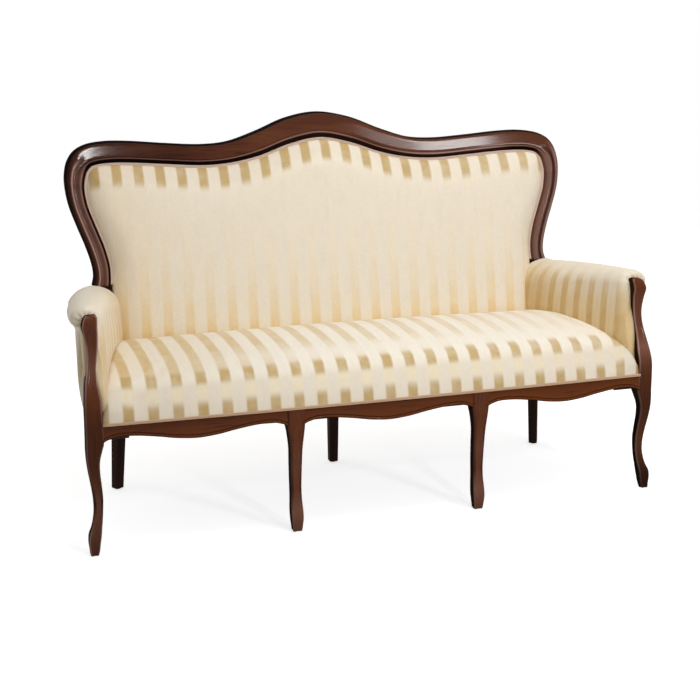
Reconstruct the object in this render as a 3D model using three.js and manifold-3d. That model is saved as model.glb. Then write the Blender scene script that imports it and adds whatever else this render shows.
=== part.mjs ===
// A three-seat cabriole sofa: a moulded show-wood back frame on stiles, cabriole front legs that
// run up into the arm posts, serpentine seat rails, a sprung-web seat, and padded back and arms.
// Millimetres, +Z up, +X to the sitter's left. The sofa faces -Y. Lengths along Y are first taken
// from the line of the front feet, and the finished group is centred over its own footprint.

import * as THREE from 'three';
import Module from 'manifold-3d';

const wasm = await Module();
wasm.setup();

// Heights above the floor
const crestHeight = 1083; // top of the crest rail, at the middle
const armJoinHeight = 613; // carved foot of each back stile, where the arm meets it
const railTop = 350; // top of every seat rail
const railBottom = 305; // underside of the side, back and cross rails
const postTop = 656; // rounded top of the arm posts
const armHeight = 650; // top of the arm roll at its front
const armFall = 37; // how far the arm roll falls towards the back
const seatHeight = 476; // crown of the seat at its sides

// Widths, measured from the middle of the sofa
const backHalfWidth = 781; // widest point of the back frame
const kneeOuterX = 817; // outer face of a corner leg at its knee
const innerLegX = 268; // middle of each inner front leg
const backLegX = 667; // middle of each back corner leg, at its top
const seatHalfRear = 641; // seat edge at the back
const armOuterRear = 801; // outside of the arm roll, at the back of the seat
const railOuterRear = 758; // outer face of a side rail at the back seat rail
const backUprightX = 236; // middle of each upright inside the back
const seatInset = 50; // seat edge at the front, inside the outer face of the corner leg
const armProud = 21; // outside of the arm roll, carried forward to the front line, beyond that face
const railInset = 3; // outer face of a side rail at the corner leg, inside that face

// Places along Y, from the line of the front feet
const kneeFrontY = -3; // front face of a corner leg at its knee
const frontLineY = 0; // front face of the seat rails beside the corner legs
const frontBow = 12; // how far the seat rails bow forward at the middle
const seatRearY = 457; // back edge of the seat
const backFootingY = 509.5; // face of the back frame, at the middle, level with the rail top
const backBow = 46.6; // how far the back frame comes forward at its bow span
const backBowSpan = 700; // half width over which the back bow is measured
const backSlope = 0.201; // recline of the back, run over rise
const backLegSplay = 17; // how far the foot of a back corner leg stands outward of its top
const backLegRake = 10; // and how far it stands back

// Timber sizes
const frameDepth = 32; // thickness of the crest rail and stiles
const kneeSide = 41; // square side of a corner leg at its knee
const innerKneeSide = 43; // square side of an inner front leg at its top
const innerKneeProud = 2.5; // how far its top stands out of the front rails
const backLegSide = 35; // square side of a back leg at its top
const railWidth = 30; // thickness of side rails and cross rails
const backRailWidth = 44; // thickness of the back seat rail
const apronThickness = 24; // thickness of the front rails
const apronDepth = 53; // depth of a front rail at the lowest point of its curve
const beadProud = 3.5; // how far the bead stands out of a front rail
const beadHeight = 8; // height of that bead
const tackRailHeight = 42; // height of the lower rail inside the back
const tackRailDrop = 24; // its underside, under the crown of the seat
const tackWidth = 16; // thickness of the rails and uprights inside the back
const uprightWidth = 45; // width of an upright inside the back
const armRailWidth = 26; // square side of the rail inside an arm
const armRailDrop = 46; // how far its axis lies under the top of the arm roll
const blockReach = 70; // legs of a triangular corner block
const cornerEase = 5; // eased corners of the legs

// Soft parts and trims
const padCrown = 27; // how far the back pad swells out of the frame near its top
const padEdgeRoll = 62; // width of its rounded border
const padTuck = 36; // how far the back pad goes down behind the seat, under its crown
const padSeat = 12; // how deep the back pad sits in its frame
const seatSwell = 7; // extra crown at the middle of the seat
const seatOverhang = 5; // how far the seat stands forward of the rails
const coverThickness = 3; // fabric and wadding
const armRollOverhang = 17; // how far the arm roll hangs over the outside panel
const panelThickness = 6; // outside panels of the arms and back
const boardLap = 26; // how far the outside of the back laps over the frame
const gimpWidth = 8; // trim round the back pad
const gimpProud = 5; // how far it stands out of the frame face
const braidHeight = 10; // braid along the front of the seat
const braidThickness = 2.5;
const strapWidth = 50; // webbing straps
const strapThickness = 2.2;
const dustThickness = 1.2; // dust cover under the seat
const glideRadius = 8; // felt glides under the feet
const glideHeight = 2.5;

// Fits
const gap = 0.3; // clearance between pieces that touch
const overrun = 12; // how far a piece runs into its neighbour before it is trimmed to it

// Where each piece is divided, for round and swept shapes
const frameSteps = 2; // rings for each pair of points of the frame outline
const seatColumns = 14;
const padColumns = 20;
const padRows = 10;
const armRings = 8;
const arcSteps = 5;
const glideSides = 12;

const seatHalfFront = kneeOuterX - seatInset;
const armOuterFront = kneeOuterX + armProud;
const railOuterFront = kneeOuterX - railInset;
const tackRailBottom = seatHeight - tackRailDrop;
const padBottom = seatHeight - padTuck; // lower edge of the back pad

// Outline of the right half of the back frame, from the middle of the crest to the carved foot:
// across, as shares of backHalfWidth, and up, as shares of the rise from armJoinHeight to crestHeight
const outerEdgeShares = [
  [0, 1], [0.128, 0.966], [0.256, 0.885], [0.371, 0.827], [0.474, 0.815], [0.615, 0.83],
  [0.755, 0.851], [0.845, 0.855], [0.915, 0.839], [0.959, 0.802], [0.986, 0.743], [0.999, 0.664],
  [1, 0.589], [0.991, 0.483], [0.967, 0.355], [0.94, 0.228], [0.922, 0.117], [0.919, 0.047], [0.926, 0],
];
const innerEdgeShares = [
  [0, 0.84], [0.1255, 0.803], [0.251, 0.734], [0.365, 0.698], [0.474, 0.689], [0.618, 0.706],
  [0.758, 0.7245], [0.826, 0.7275], [0.871, 0.723], [0.899, 0.711], [0.917, 0.681], [0.928, 0.632],
  [0.932, 0.577], [0.9245, 0.479], [0.9, 0.355], [0.8745, 0.232], [0.859, 0.117], [0.858, 0.047], [0.86, 0],
];
const cornerIndex = 9; // which outline point lies in the corner of the back pad
const splitIndex = 12; // and which lies where the crest rail meets a stile

// Moulding of the back frame: across the face from outer to inner edge, and forward, as a share of frameDepth
const mouldingShares = [
  [0, -1], [0, -0.42], [0.06, -0.2], [0.18, -0.06], [0.34, 0], [0.74, 0], [0.8, 0.08], [0.88, 0.08],
  [0.93, -0.1], [1, -0.12], [1, -1],
];

// A corner leg up to the rail: height as a share of railTop, then side, outward and backward shifts of
// its outer front corner, as shares of kneeSide
const cornerLegShares = [
  [0, 0.49, 0.07, 0.07], [0.05, 0.6, 0.11, 0.02], [0.155, 0.745, 0.137, -0.05], [0.26, 0.66, 0, 0.1],
  [0.34, 0.53, -0.26, 0.3], [0.44, 0.5, -0.39, 0.39], [0.55, 0.56, -0.32, 0.33], [0.73, 0.73, -0.08, 0.12],
  [0.82, 0.9, 0, 0.02], [0.86, 1, 0, 0], [1, 1, 0, 0],
];
// The arm post above it: height as a share of postTop - railTop, then as above
const postShares = [
  [0.128, 1, 0, 0.12], [0.226, 0.98, -0.05, 0.3], [0.348, 0.88, -0.146, 0.73], [0.423, 0.76, -0.27, 0.9],
  [0.5, 0.65, -0.37, 1.02], [0.57, 0.61, -0.44, 1.07], [0.656, 0.68, -0.49, 1.12], [0.787, 0.85, -0.39, 1.16],
  [0.885, 0.93, -0.29, 1.17], [0.945, 0.9, -0.3, 1.2], [0.98, 0.72, -0.37, 1.3], [1, 0.42, -0.5, 1.45],
];
// An inner front leg: height as a share of railTop, then side and backward shift as shares of innerKneeSide
const innerLegShares = [
  [0, 0.58, 0.12], [0.06, 0.66, 0.04], [0.17, 0.71, 0], [0.27, 0.66, 0.16], [0.36, 0.62, 0.34],
  [0.43, 0.61, 0.42], [0.55, 0.65, 0.37], [0.68, 0.72, 0.2], [0.8, 0.88, 0.04], [0.86, 1, 0], [1, 1, 0],
];
// Lower edge of a front rail: across its bay, and its depth as a share of apronDepth
const serpentineShares = [
  [0, 0.83], [0.03, 0.7], [0.085, 0.59], [0.16, 0.6], [0.28, 0.74], [0.4, 0.93], [0.5, 1],
  [0.6, 0.93], [0.72, 0.74], [0.84, 0.6], [0.915, 0.59], [0.97, 0.7], [1, 0.83],
];
// The seat from its front edge over the crown to the back: along, as a share of its depth, and up,
// as a share of its thickness
const seatShares = [
  [0, 0], [0.004, 0.09], [0.018, 0.2], [0.046, 0.34], [0.08, 0.46], [0.13, 0.6], [0.192, 0.73], [0.294, 0.85],
  [0.42, 0.935], [0.55, 0.985], [0.69, 1], [0.83, 0.965], [0.94, 0.91], [1, 0.82],
];
const backLegTaperShare = 0.76; // foot of a back leg, as a share of its top
const backLegTurn = THREE.MathUtils.degToRad(31); // how far a back corner leg is turned
const rollSideShare = 0.8; // height of the outer half of an arm roll, as a share of its half width
const rollUnderShare = 1.42; // where its overhang ends, under its top, in the same measure
const armFallPower = 1.55; // how the roll falls: slowly at the front, faster at the back
const armFrontLean = 0.32; // lean of the front edge of the inside of an arm, run over rise
const domeShares = [0.62, 0.86, 0.96, 1]; // how the front of an arm roll closes, ring by ring
const domePlaceShares = [0, 0.012, 0.035, 0.08]; // where those rings lie along the arm
const armRailEndShare = 0.78; // middle of an arm rail's front end, inside the outer face of the knee
const padSwellPower = 0.7; // how fast the swell of the back pad dies away upwards
const strapCount = 7;
const backStrapCount = 3;

const sofa = new THREE.Group();
const woodColour = 0x3d1a10;
const innerWoodColour = 0xb08a5c;
const fabricColour = 0xe9d9ae;
const trimColour = 0xd8c59a;
const foamColour = 0xf0e6c0;
const webColour = 0x8a6a48;
const dustColour = 0x2a2724;
const feltColour = 0x6b6257;

function wood() {
  return new THREE.MeshStandardMaterial({ color: woodColour, roughness: 0.28, metalness: 0 });
}
function innerWood() {
  return new THREE.MeshStandardMaterial({ color: innerWoodColour, roughness: 0.7, metalness: 0 });
}
function fabric(color = fabricColour, roughness = 0.62) {
  return new THREE.MeshStandardMaterial({ color, roughness, metalness: 0 });
}

function addPiece(name, geometry, material) {
  geometry.computeVertexNormals();
  const mesh = new THREE.Mesh(geometry, material);
  mesh.name = name;
  sofa.add(mesh);
}

function geometryFrom(positions, index) {
  let volume = 0;
  const corner = (i) => new THREE.Vector3().fromArray(positions, 3 * i);
  for (let i = 0; i < index.length; i += 3) {
    const [a, b, c] = [corner(index[i]), corner(index[i + 1]), corner(index[i + 2])];
    volume += a.dot(b.cross(c));
  }
  const outward = volume > 0 ? index : index.slice().reverse();
  const geometry = new THREE.BufferGeometry();
  geometry.setAttribute('position', new THREE.Float32BufferAttribute(positions, 3));
  geometry.setIndex(outward);
  return geometry;
}

// A closed solid through rings of points, each end closed by a fan from its middle
function loft(rings) {
  const count = rings[0].length;
  const positions = rings.flat().flatMap((p) => [p.x, p.y, p.z]);
  const index = [];
  for (let r = 0; r + 1 < rings.length; r++) {
    for (let i = 0; i < count; i++) {
      const j = (i + 1) % count;
      const [a, b, c, d] = [r * count + i, r * count + j, (r + 1) * count + i, (r + 1) * count + j];
      index.push(a, b, d, a, d, c);
    }
  }
  const close = (ring, start, forward) => {
    const middle = ring.reduce((sum, p) => sum.add(p), new THREE.Vector3()).divideScalar(count);
    const hub = positions.length / 3;
    positions.push(middle.x, middle.y, middle.z);
    for (let i = 0; i < count; i++) {
      const j = (i + 1) % count;
      index.push(hub, start + (forward ? i : j), start + (forward ? j : i));
    }
  };
  close(rings[0], 0, false);
  close(rings.at(-1), (rings.length - 1) * count, true);
  return geometryFrom(positions, index);
}

// A closed slab between two surfaces over the same grid
function slab(columns, rows, front, back) {
  const positions = [];
  const index = [];
  const place = (side, i, j) => side * (columns + 1) * (rows + 1) + j * (columns + 1) + i;
  for (const surface of [front, back]) {
    for (let j = 0; j <= rows; j++) {
      for (let i = 0; i <= columns; i++) {
        const p = surface((2 * i) / columns - 1, j / rows);
        positions.push(p.x, p.y, p.z);
      }
    }
  }
  const quad = (a, b, c, d) => index.push(a, b, c, a, c, d);
  for (let j = 0; j < rows; j++) {
    for (let i = 0; i < columns; i++) {
      quad(place(0, i, j), place(0, i + 1, j), place(0, i + 1, j + 1), place(0, i, j + 1));
      quad(place(1, i, j), place(1, i, j + 1), place(1, i + 1, j + 1), place(1, i + 1, j));
    }
    quad(place(0, 0, j), place(0, 0, j + 1), place(1, 0, j + 1), place(1, 0, j));
    quad(place(0, columns, j), place(1, columns, j), place(1, columns, j + 1), place(0, columns, j + 1));
  }
  for (let i = 0; i < columns; i++) {
    quad(place(0, i, 0), place(1, i, 0), place(1, i + 1, 0), place(0, i + 1, 0));
    quad(place(0, i, rows), place(0, i + 1, rows), place(1, i + 1, rows), place(1, i, rows));
  }
  return geometryFrom(positions, index);
}

function solidOf(geometry) {
  return new wasm.Manifold(new wasm.Mesh({
    numProp: 3,
    vertProperties: new Float32Array(geometry.attributes.position.array),
    triVerts: new Uint32Array(geometry.index.array),
  }));
}

// The first solid with all the others taken away
function trimmed(geometry, ...tools) {
  const result = tools.reduce((solid, tool) => solid.subtract(solidOf(tool)), solidOf(geometry));
  const mesh = result.getMesh();
  return geometryFrom(Array.from(mesh.vertProperties), Array.from(mesh.triVerts));
}

const clamp = THREE.MathUtils.clamp;
const lerp = THREE.MathUtils.lerp;
const point = (x, y, z) => new THREE.Vector3(x, y, z);
const sides = [['left', -1], ['right', 1]];

// A square ring with eased corners round a middle, level at height z
function squareRing(x, y, z, sideX, sideY = sideX, turn = 0) {
  const [hx, hy] = [sideX / 2, sideY / 2];
  const ease = Math.min(cornerEase, hx / 2, hy / 2);
  const corners = [
    [hx, hy - ease], [hx - ease, hy], [ease - hx, hy], [-hx, hy - ease],
    [-hx, ease - hy], [ease - hx, -hy], [hx - ease, -hy], [hx, ease - hy],
  ];
  return corners.map(([u, v]) => point(
    x + u * Math.cos(turn) - v * Math.sin(turn), y + u * Math.sin(turn) + v * Math.cos(turn), z));
}

// The front face of the back frame: reclined, and bowed forward towards its ends
function backFaceY(x, z) {
  return backFootingY + backSlope * (Math.max(z, railTop) - railTop) - backBow * (x / backBowSpan) ** 2;
}

// The front face of the seat rails, bowed forward at the middle
function frontFaceY(x) {
  return frontLineY - frontBow * (1 - (x / kneeOuterX) ** 2);
}

// The inside of an arm, which is also the side of the seat
function armInnerX(y) {
  const run = (seatRearY - y) / (seatRearY - frontLineY);
  return lerp(seatHalfRear, seatHalfFront, run);
}

function edgeCurve(shares) {
  const half = shares.map(([across, up]) => point(
    across * backHalfWidth, 0, armJoinHeight + up * (crestHeight - armJoinHeight)));
  const mirrored = half.slice(1).reverse().map((p) => point(-p.x, p.y, p.z));
  return new THREE.CatmullRomCurve3([...mirrored, ...half], false, 'centripetal');
}
const outerEdge = edgeCurve(outerEdgeShares);
const innerEdge = edgeCurve(innerEdgeShares);
const lastIndex = outerEdgeShares.length - 1;

// Both edges of the back frame at an outline point, counted from the middle, negative to the left
function edgesAt(k) {
  const t = (k + lastIndex) / (2 * lastIndex);
  const [outer, inner] = [outerEdge.getPoint(t), innerEdge.getPoint(t)];
  return { outer, inner, inward: inner.clone().sub(outer).normalize() };
}

// A point beyond the inner edge of the frame by an inset
function insetEdge(k, inset) {
  const { inner, inward } = edgesAt(k);
  return inner.clone().addScaledVector(inward, inset);
}

// One ring of the frame's moulding, larger all round by grow
function frameRing(k, grow = 0, drop = 0) {
  const { outer, inner, inward } = edgesAt(k);
  const width = outer.distanceTo(inner);
  return mouldingShares.map(([across, forward]) => {
    const reach = across * (width + 2 * grow) - grow;
    const p = outer.clone().addScaledVector(inward, reach);
    const lift = forward > -0.5 ? forward * frameDepth + grow : forward * frameDepth - grow;
    return point(p.x, backFaceY(p.x, p.z) - lift, p.z - drop);
  });
}

function crestRail(grow = 0) {
  const rings = [];
  for (let i = -splitIndex * frameSteps; i <= splitIndex * frameSteps; i++) {
    rings.push(frameRing(i / frameSteps, grow));
  }
  return loft(rings);
}

// A stile runs from the crest rail down the waist to its carved foot, and on inside the padding as a
// plain post that stands on the back seat rail
function backStile(side, grow = 0) {
  const rings = [frameRing(side * splitIndex, grow, gap - grow)];
  for (let i = splitIndex * frameSteps + 1; i <= lastIndex * frameSteps; i++) {
    rings.push(frameRing((side * i) / frameSteps, grow));
  }
  const foot = rings.at(-1);
  const footHeight = railTop + gap - grow;
  const [neck, stop] = [armJoinHeight - cornerEase, footHeight];
  const plain = (height) => foot.map((p) => {
    const back = backFaceY(p.x, armJoinHeight) + frameDepth + grow;
    const rest = Math.min(back, Math.max(p.y, backFaceY(p.x, armJoinHeight)));
    return point(p.x, rest + backFaceY(p.x, height) - backFaceY(p.x, armJoinHeight), height);
  });
  rings.push(plain(neck), plain(stop));
  return loft(rings);
}

function cornerLeg(side, grow = 0) {
  const base = glideHeight + gap;
  const rows = [
    ...cornerLegShares.map(([height, ...rest]) => [Math.max(height * railTop, base), ...rest]),
    ...postShares.map(([height, ...rest]) => [railTop + height * (postTop - railTop), ...rest]),
  ];
  return loft(rows.map(([z, sideShare, outward, backward]) => {
    const size = sideShare * kneeSide;
    const x = kneeOuterX + outward * kneeSide - size / 2;
    const y = kneeFrontY + backward * kneeSide + size / 2;
    return squareRing(side * x, y, z, size + 2 * grow);
  }));
}

// How far an arm post reaches back, at a height
function postBackY(z) {
  const up = clamp((z - railTop) / (postTop - railTop), postShares[0][0], 1);
  const next = Math.max(1, postShares.findIndex(([height]) => height >= up));
  const [low, high] = [postShares[next - 1], postShares[next]];
  const mix = (up - low[0]) / (high[0] - low[0]);
  return kneeFrontY + kneeSide * (lerp(low[1], high[1], mix) + lerp(low[3], high[3], mix));
}

const innerKneeFrontY = frontFaceY(innerLegX) - innerKneeProud;

function innerLeg(side) {
  const base = glideHeight + gap;
  return loft(innerLegShares.map(([height, sideShare, backward]) => {
    const size = sideShare * innerKneeSide;
    const y = innerKneeFrontY + backward * innerKneeSide + size / 2;
    return squareRing(side * innerLegX, y, Math.max(height * railTop, base), size);
  }));
}

// Back legs stand under the back seat rail, square, tapered and leaning a little outward
function backLegPlace(x) {
  return backFaceY(x, railTop) - backRailWidth / 4 + backLegSide / 2;
}
function backLeg(side, grow = 0) {
  const turn = -side * backLegTurn;
  const x = side * backLegX;
  const y = backLegPlace(x);
  const foot = backLegSide * backLegTaperShare;
  return loft([
    squareRing(x + side * backLegSplay, y + backLegRake * Math.abs(side), glideHeight + gap, foot + 2 * grow,
      foot + 2 * grow, turn),
    squareRing(x, y, railBottom - gap + grow, backLegSide + 2 * grow, backLegSide + 2 * grow, turn),
  ]);
}

// A front rail between two legs: a bowed face, a serpentine lower edge and a bead along it
function frontRail(from, to) {
  const stations = serpentineShares.flatMap(([across, depth], i) => {
    if (i === 0) return [[across, depth]];
    const [lastAcross, lastDepth] = serpentineShares[i - 1];
    return [[(across + lastAcross) / 2, (depth + lastDepth) / 2], [across, depth]];
  });
  return loft(stations.map(([across, depth]) => {
    const x = lerp(from, to, across);
    const face = frontFaceY(x);
    const low = railTop - depth * apronDepth;
    return [
      point(x, face + apronThickness, railTop),
      point(x, face, railTop),
      point(x, face, low + beadHeight),
      point(x, face - beadProud, low + 0.75 * beadHeight),
      point(x, face - beadProud, low + 0.25 * beadHeight),
      point(x, face, low),
      point(x, face + apronThickness, low),
    ];
  }));
}

function railOuterX(y) {
  const run = (seatRearY - y) / (seatRearY - frontLineY);
  return lerp(railOuterRear, railOuterFront, run);
}

function backRail(grow = 0) {
  const rings = [];
  const half = railOuterX(backFaceY(railOuterRear, railTop)) + grow;
  for (let i = -padColumns / 2; i <= padColumns / 2; i++) {
    const x = (half * 2 * i) / padColumns;
    const front = backFaceY(x, railTop) + frameDepth - backRailWidth - grow;
    const back = backFaceY(x, railTop) + frameDepth + grow;
    const [low, high] = [railBottom - grow, railTop + grow];
    rings.push([point(x, front, low), point(x, back, low), point(x, back, high), point(x, front, high)]);
  }
  return loft(rings);
}

function boxRing(x, y, z, width, height) {
  return [
    point(x - width / 2, y, z - height / 2), point(x + width / 2, y, z - height / 2),
    point(x + width / 2, y, z + height / 2), point(x - width / 2, y, z + height / 2),
  ];
}

function sideRail(side, grow = 0) {
  const height = railTop - railBottom + 2 * grow;
  const middle = (railTop + railBottom) / 2;
  const front = kneeFrontY + kneeSide + gap - grow;
  const rear = backFaceY(railOuterRear, railTop);
  return loft([front, rear].map((y) => boxRing(
    side * (railOuterX(y) - railWidth / 2), y, middle, railWidth + 2 * grow, height)));
}

function crossRail(side) {
  const front = innerKneeFrontY + innerKneeSide + gap;
  const middle = (railTop + railBottom) / 2;
  const rear = backFaceY(innerLegX, railTop);
  return loft([front, rear].map((y) => boxRing(
    side * innerLegX, y, middle - gap, railWidth, railTop - railBottom - 2 * gap)));
}

// A level prism over a plan outline
function prism(outline, low, high) {
  const ring = (z) => outline.map(([x, y]) => point(x, y, z));
  return loft([ring(low), ring(high)]);
}

// Corner blocks are glued into the corners of the seat frame
function frontBlock(side) {
  const [low, high] = [railBottom + gap, railTop - gap];
  const inner = kneeOuterX - kneeSide;
  const rail = frontFaceY(inner) + apronThickness + gap;
  const outline = [
    [side * (inner - blockReach), rail], [side * (inner + overrun), rail],
    [side * (railOuterX(rail + blockReach) - railWidth + overrun), rail + blockReach + overrun],
    [side * (railOuterX(rail + blockReach) - railWidth - overrun), rail + blockReach],
  ];
  return trimmed(prism(outline, low, high), cornerLeg(side, gap), sideRail(side, gap));
}
function rearBlock(side) {
  const [low, high] = [railBottom + gap, railTop - gap];
  const y = backFaceY(railOuterRear, railTop);
  const x = railOuterX(y) - railWidth;
  const outline = [
    [side * (x - blockReach), y], [side * (x + overrun), y],
    [side * (x + overrun), y - backRailWidth - blockReach / 2],
    [side * (x - overrun), y - backRailWidth - blockReach / 2],
    [side * (x - blockReach), y - backRailWidth / 2],
  ];
  return trimmed(prism(outline, low, high), sideRail(side, gap), backRail(gap));
}

// The roll of an arm at a place along Y: its top, its half width and its two faces
function armRoll(y) {
  const run = (seatRearY - y) / (seatRearY - frontLineY);
  const outer = lerp(armOuterRear, armOuterFront, run);
  const inner = armInnerX(y) + gap;
  const top = armHeight - armFall * clamp(1 - run, 0, 1) ** armFallPower;
  return { outer, inner, top, radius: (outer - inner) / 2, middle: (outer + inner) / 2 };
}

// Points round the section of an arm, inner wall first: [share towards the outside, x, z]
function armSection(y, grow = 0) {
  const { outer, inner, top, radius, middle } = armRoll(y);
  const low = railTop + gap;
  const points = [[0, inner, low], [0, inner, (low + seatHeight) / 2], [0, inner, seatHeight]];
  for (let i = 0; i <= arcSteps; i++) {
    const angle = (Math.PI / 2) * (i / arcSteps);
    points.push([i / arcSteps / 2, middle - radius * Math.cos(angle), top - radius * (1 - Math.sin(angle))]);
  }
  const drop = rollSideShare * radius;
  for (let i = 1; i <= arcSteps; i++) {
    const angle = (Math.PI / 2) * (i / arcSteps);
    const across = (1 + i / arcSteps) / 2;
    points.push([across, middle + radius * Math.sin(angle), top - drop * (1 - Math.cos(angle))]);
  }
  const under = top - rollUnderShare * radius;
  const wall = outer - armRollOverhang - panelThickness - gap;
  points.push([1, outer - armRollOverhang / 4, (top - drop + under) / 2]);
  points.push([1, outer - armRollOverhang, under]);
  points.push([1, wall, under - gap]);
  points.push([1, railOuterX(y) - panelThickness - gap, low]);
  return points;
}

// The front edge of an arm leans back on its inside and stands behind the post on its outside
function armFrontY(across, z) {
  const insideEdge = frontLineY - seatOverhang + armFrontLean * (z - railTop);
  return lerp(insideEdge, postBackY(z) - coverThickness, Math.min(1, 2 * across));
}

function armRearY(z) {
  return backFaceY(edgesAt(lastIndex).outer.x, z) + frameDepth;
}

function armBody(side) {
  const rings = [];
  const nominal = (s) => lerp(armFrontY(1, seatHeight), armRearY(seatHeight), s);
  const along = [...domePlaceShares];
  for (let i = 1; i <= armRings; i++) along.push(lerp(domePlaceShares.at(-1), 1, i / armRings));
  along.forEach((s, i) => {
    const dome = domeShares[Math.min(i, domeShares.length - 1)];
    const roll = armRoll(nominal(s));
    rings.push(armSection(nominal(s)).map(([across, x0, z0], p) => {
      const y = lerp(armFrontY(across, z0), armRearY(z0), s);
      const [, x] = armSection(y)[p];
      const rise = clamp((z0 - seatHeight) / (roll.top - seatHeight - roll.radius), 0, 1);
      const keep = lerp(1, dome, rise);
      const z = z0 > seatHeight ? lerp(roll.top - roll.radius, z0, keep) : z0;
      return point(side * lerp(roll.middle, x, keep), y, z);
    }));
  });
  return loft(rings);
}

// Space behind the face of the back frame, for trimming what stops there
function behindBack(side) {
  const limit = (edgesAt(lastIndex).inner.x + edgesAt(lastIndex).outer.x) / 2;
  const surface = (depth) => (u, v) => {
    const x = side * limit * (1 + u) / 2;
    const z = lerp(0, crestHeight, v);
    return point(x, backFaceY(x, z) - gap + depth, z);
  };
  return slab(padRows, padColumns, surface(0), surface(2 * frameDepth + overrun));
}

function armPad(side) {
  return trimmed(armBody(side), behindBack(side), backStile(side, gap), cornerLeg(side, gap),
    padSolid({ grow: gap }), armRail(side, gap, gap), armPanel(side, gap));
}

function armRail(side, grow = 0, reach = 0) {
  const post = armRoll(frontLineY);
  const frontZ = post.top - armRailDrop;
  const frontY = postBackY(frontZ) - overrun - reach;
  const rearX = (edgesAt(lastIndex).inner.x + edgesAt(lastIndex).outer.x) / 2;
  const rearZ = armRoll(seatRearY).top - armRailDrop;
  const rearY = backFaceY(rearX, rearZ) + overrun + reach;
  const width = armRailWidth + 2 * grow;
  const frontX = kneeOuterX - kneeSide * armRailEndShare;
  const bar = loft([
    boxRing(side * frontX, frontY, frontZ, width, width),
    boxRing(side * rearX, rearY, rearZ, width, width),
  ]);
  return grow > 0 ? bar : trimmed(bar, cornerLeg(side, gap), backStile(side, gap));
}

// The outside of an arm: a covered panel from the side rail up to the overhang of the roll
function armPanel(side, grow = 0) {
  const rings = [];
  for (let i = 0; i <= armRings; i++) {
    const s = i / armRings;
    const row = (z, offset, atTop) => {
      const y = lerp(postBackY(z) + gap - grow, armRearY(z) + grow, s);
      const roll = armRoll(y);
      const height = atTop ? roll.top - rollUnderShare * roll.radius - gap + grow : z;
      const x = atTop ? roll.outer - armRollOverhang : railOuterX(y);
      return point(side * (x - offset), y, height);
    };
    const low = railTop + gap - grow;
    const nominal = armRoll(lerp(postBackY(seatHeight), armRearY(seatHeight), s));
    const high = nominal.top - rollUnderShare * nominal.radius;
    const [inside, outside] = [panelThickness + grow, -grow];
    rings.push([
      row(low, inside, false), row(low, outside, false), row(high, outside, true), row(high, inside, true),
    ]);
  }
  return grow > 0 ? loft(rings) : trimmed(loft(rings), cornerLeg(side, gap));
}

// The top edge of the back pad at a place across it, inset from the frame
function padTopZ(x, inset) {
  let near = insetEdge(0, inset);
  for (let i = 1; i <= cornerIndex * frameSteps; i++) {
    const far = insetEdge(i / frameSteps, inset);
    const run = (Math.abs(x) - near.x) / (far.x - near.x);
    if (run <= 1) return lerp(near.z, far.z, clamp(run, 0, 1));
    near = far;
  }
  return near.z;
}

// The side edge of the back pad at a height, inset from the frame
function padSideX(z, inset) {
  const steps = (lastIndex - cornerIndex) * frameSteps;
  let above = insetEdge(cornerIndex, inset);
  for (let i = 1; i <= steps; i++) {
    const below = insetEdge(cornerIndex + i / frameSteps, inset);
    if (z >= below.z) return lerp(below.x, above.x, clamp((z - below.z) / (above.z - below.z), 0, 1));
    above = below;
  }
  return above.x;
}

// The back pad swells most at the seat, where its face is straight across, and less under the crest
function padSolid({ grow = 0, inset = 0, through = 0, border = 0 } = {}) {
  const edge = gimpWidth / 2 - grow + inset + border;
  const corner = insetEdge(cornerIndex, edge);
  const base = padBottom - grow + inset;
  const outline = (u, v) => {
    const z = lerp(base, padTopZ(u * corner.x, edge), v);
    return point(u * padSideX(lerp(base, corner.z, v), edge), 0, z);
  };
  const front = (u, v) => {
    const p = outline(u, v);
    const toEdge = Math.min(padSideX(p.z, edge) - Math.abs(p.x), padTopZ(p.x, edge) - p.z);
    const roll = Math.sqrt(1 - (1 - clamp(toEdge / padEdgeRoll, 0, 1)) ** 2);
    const rise = clamp((p.z - padBottom) / (crestHeight - padBottom), 0, 1) ** padSwellPower;
    const straight = seatRearY + gap + backSlope * (p.z - padBottom);
    const swell = lerp(backFaceY(p.x, p.z) - straight, padCrown, rise);
    return point(p.x, backFaceY(p.x, p.z) - roll * swell - grow + inset, p.z);
  };
  const back = (u, v) => {
    const p = outline(u, v);
    return point(p.x, backFaceY(p.x, p.z) + padSeat + grow + through, p.z);
  };
  return slab(padColumns, padRows, front, back);
}

// What the back pad is fitted into: the frame all round, and the gimp along its border
function padSurround() {
  return [crestRail(gap), backStile(-1, gap), backStile(1, gap), backGimp(gap)];
}

function backCover() {
  return trimmed(padSolid(), padSolid({ inset: coverThickness, through: overrun }), ...padSurround());
}

function backFoam() {
  return padSolid({ inset: coverThickness + gap, border: gimpWidth });
}

function backGimp(grow = 0) {
  const rings = [];
  for (let i = -lastIndex * frameSteps; i <= lastIndex * frameSteps; i++) {
    const k = i / frameSteps;
    const [near, far] = [insetEdge(k, gap - grow), insetEdge(k, gap + gimpWidth + grow)];
    const middle = near.clone().lerp(far, 0.5);
    const at = (p, forward) => point(p.x, backFaceY(p.x, p.z) - forward, p.z);
    const [front, back] = [gimpProud + grow, -gimpProud - grow];
    rings.push([at(near, back), at(near, 0), at(middle, front), at(far, 0), at(far, back)]);
  }
  return loft(rings);
}

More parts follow.
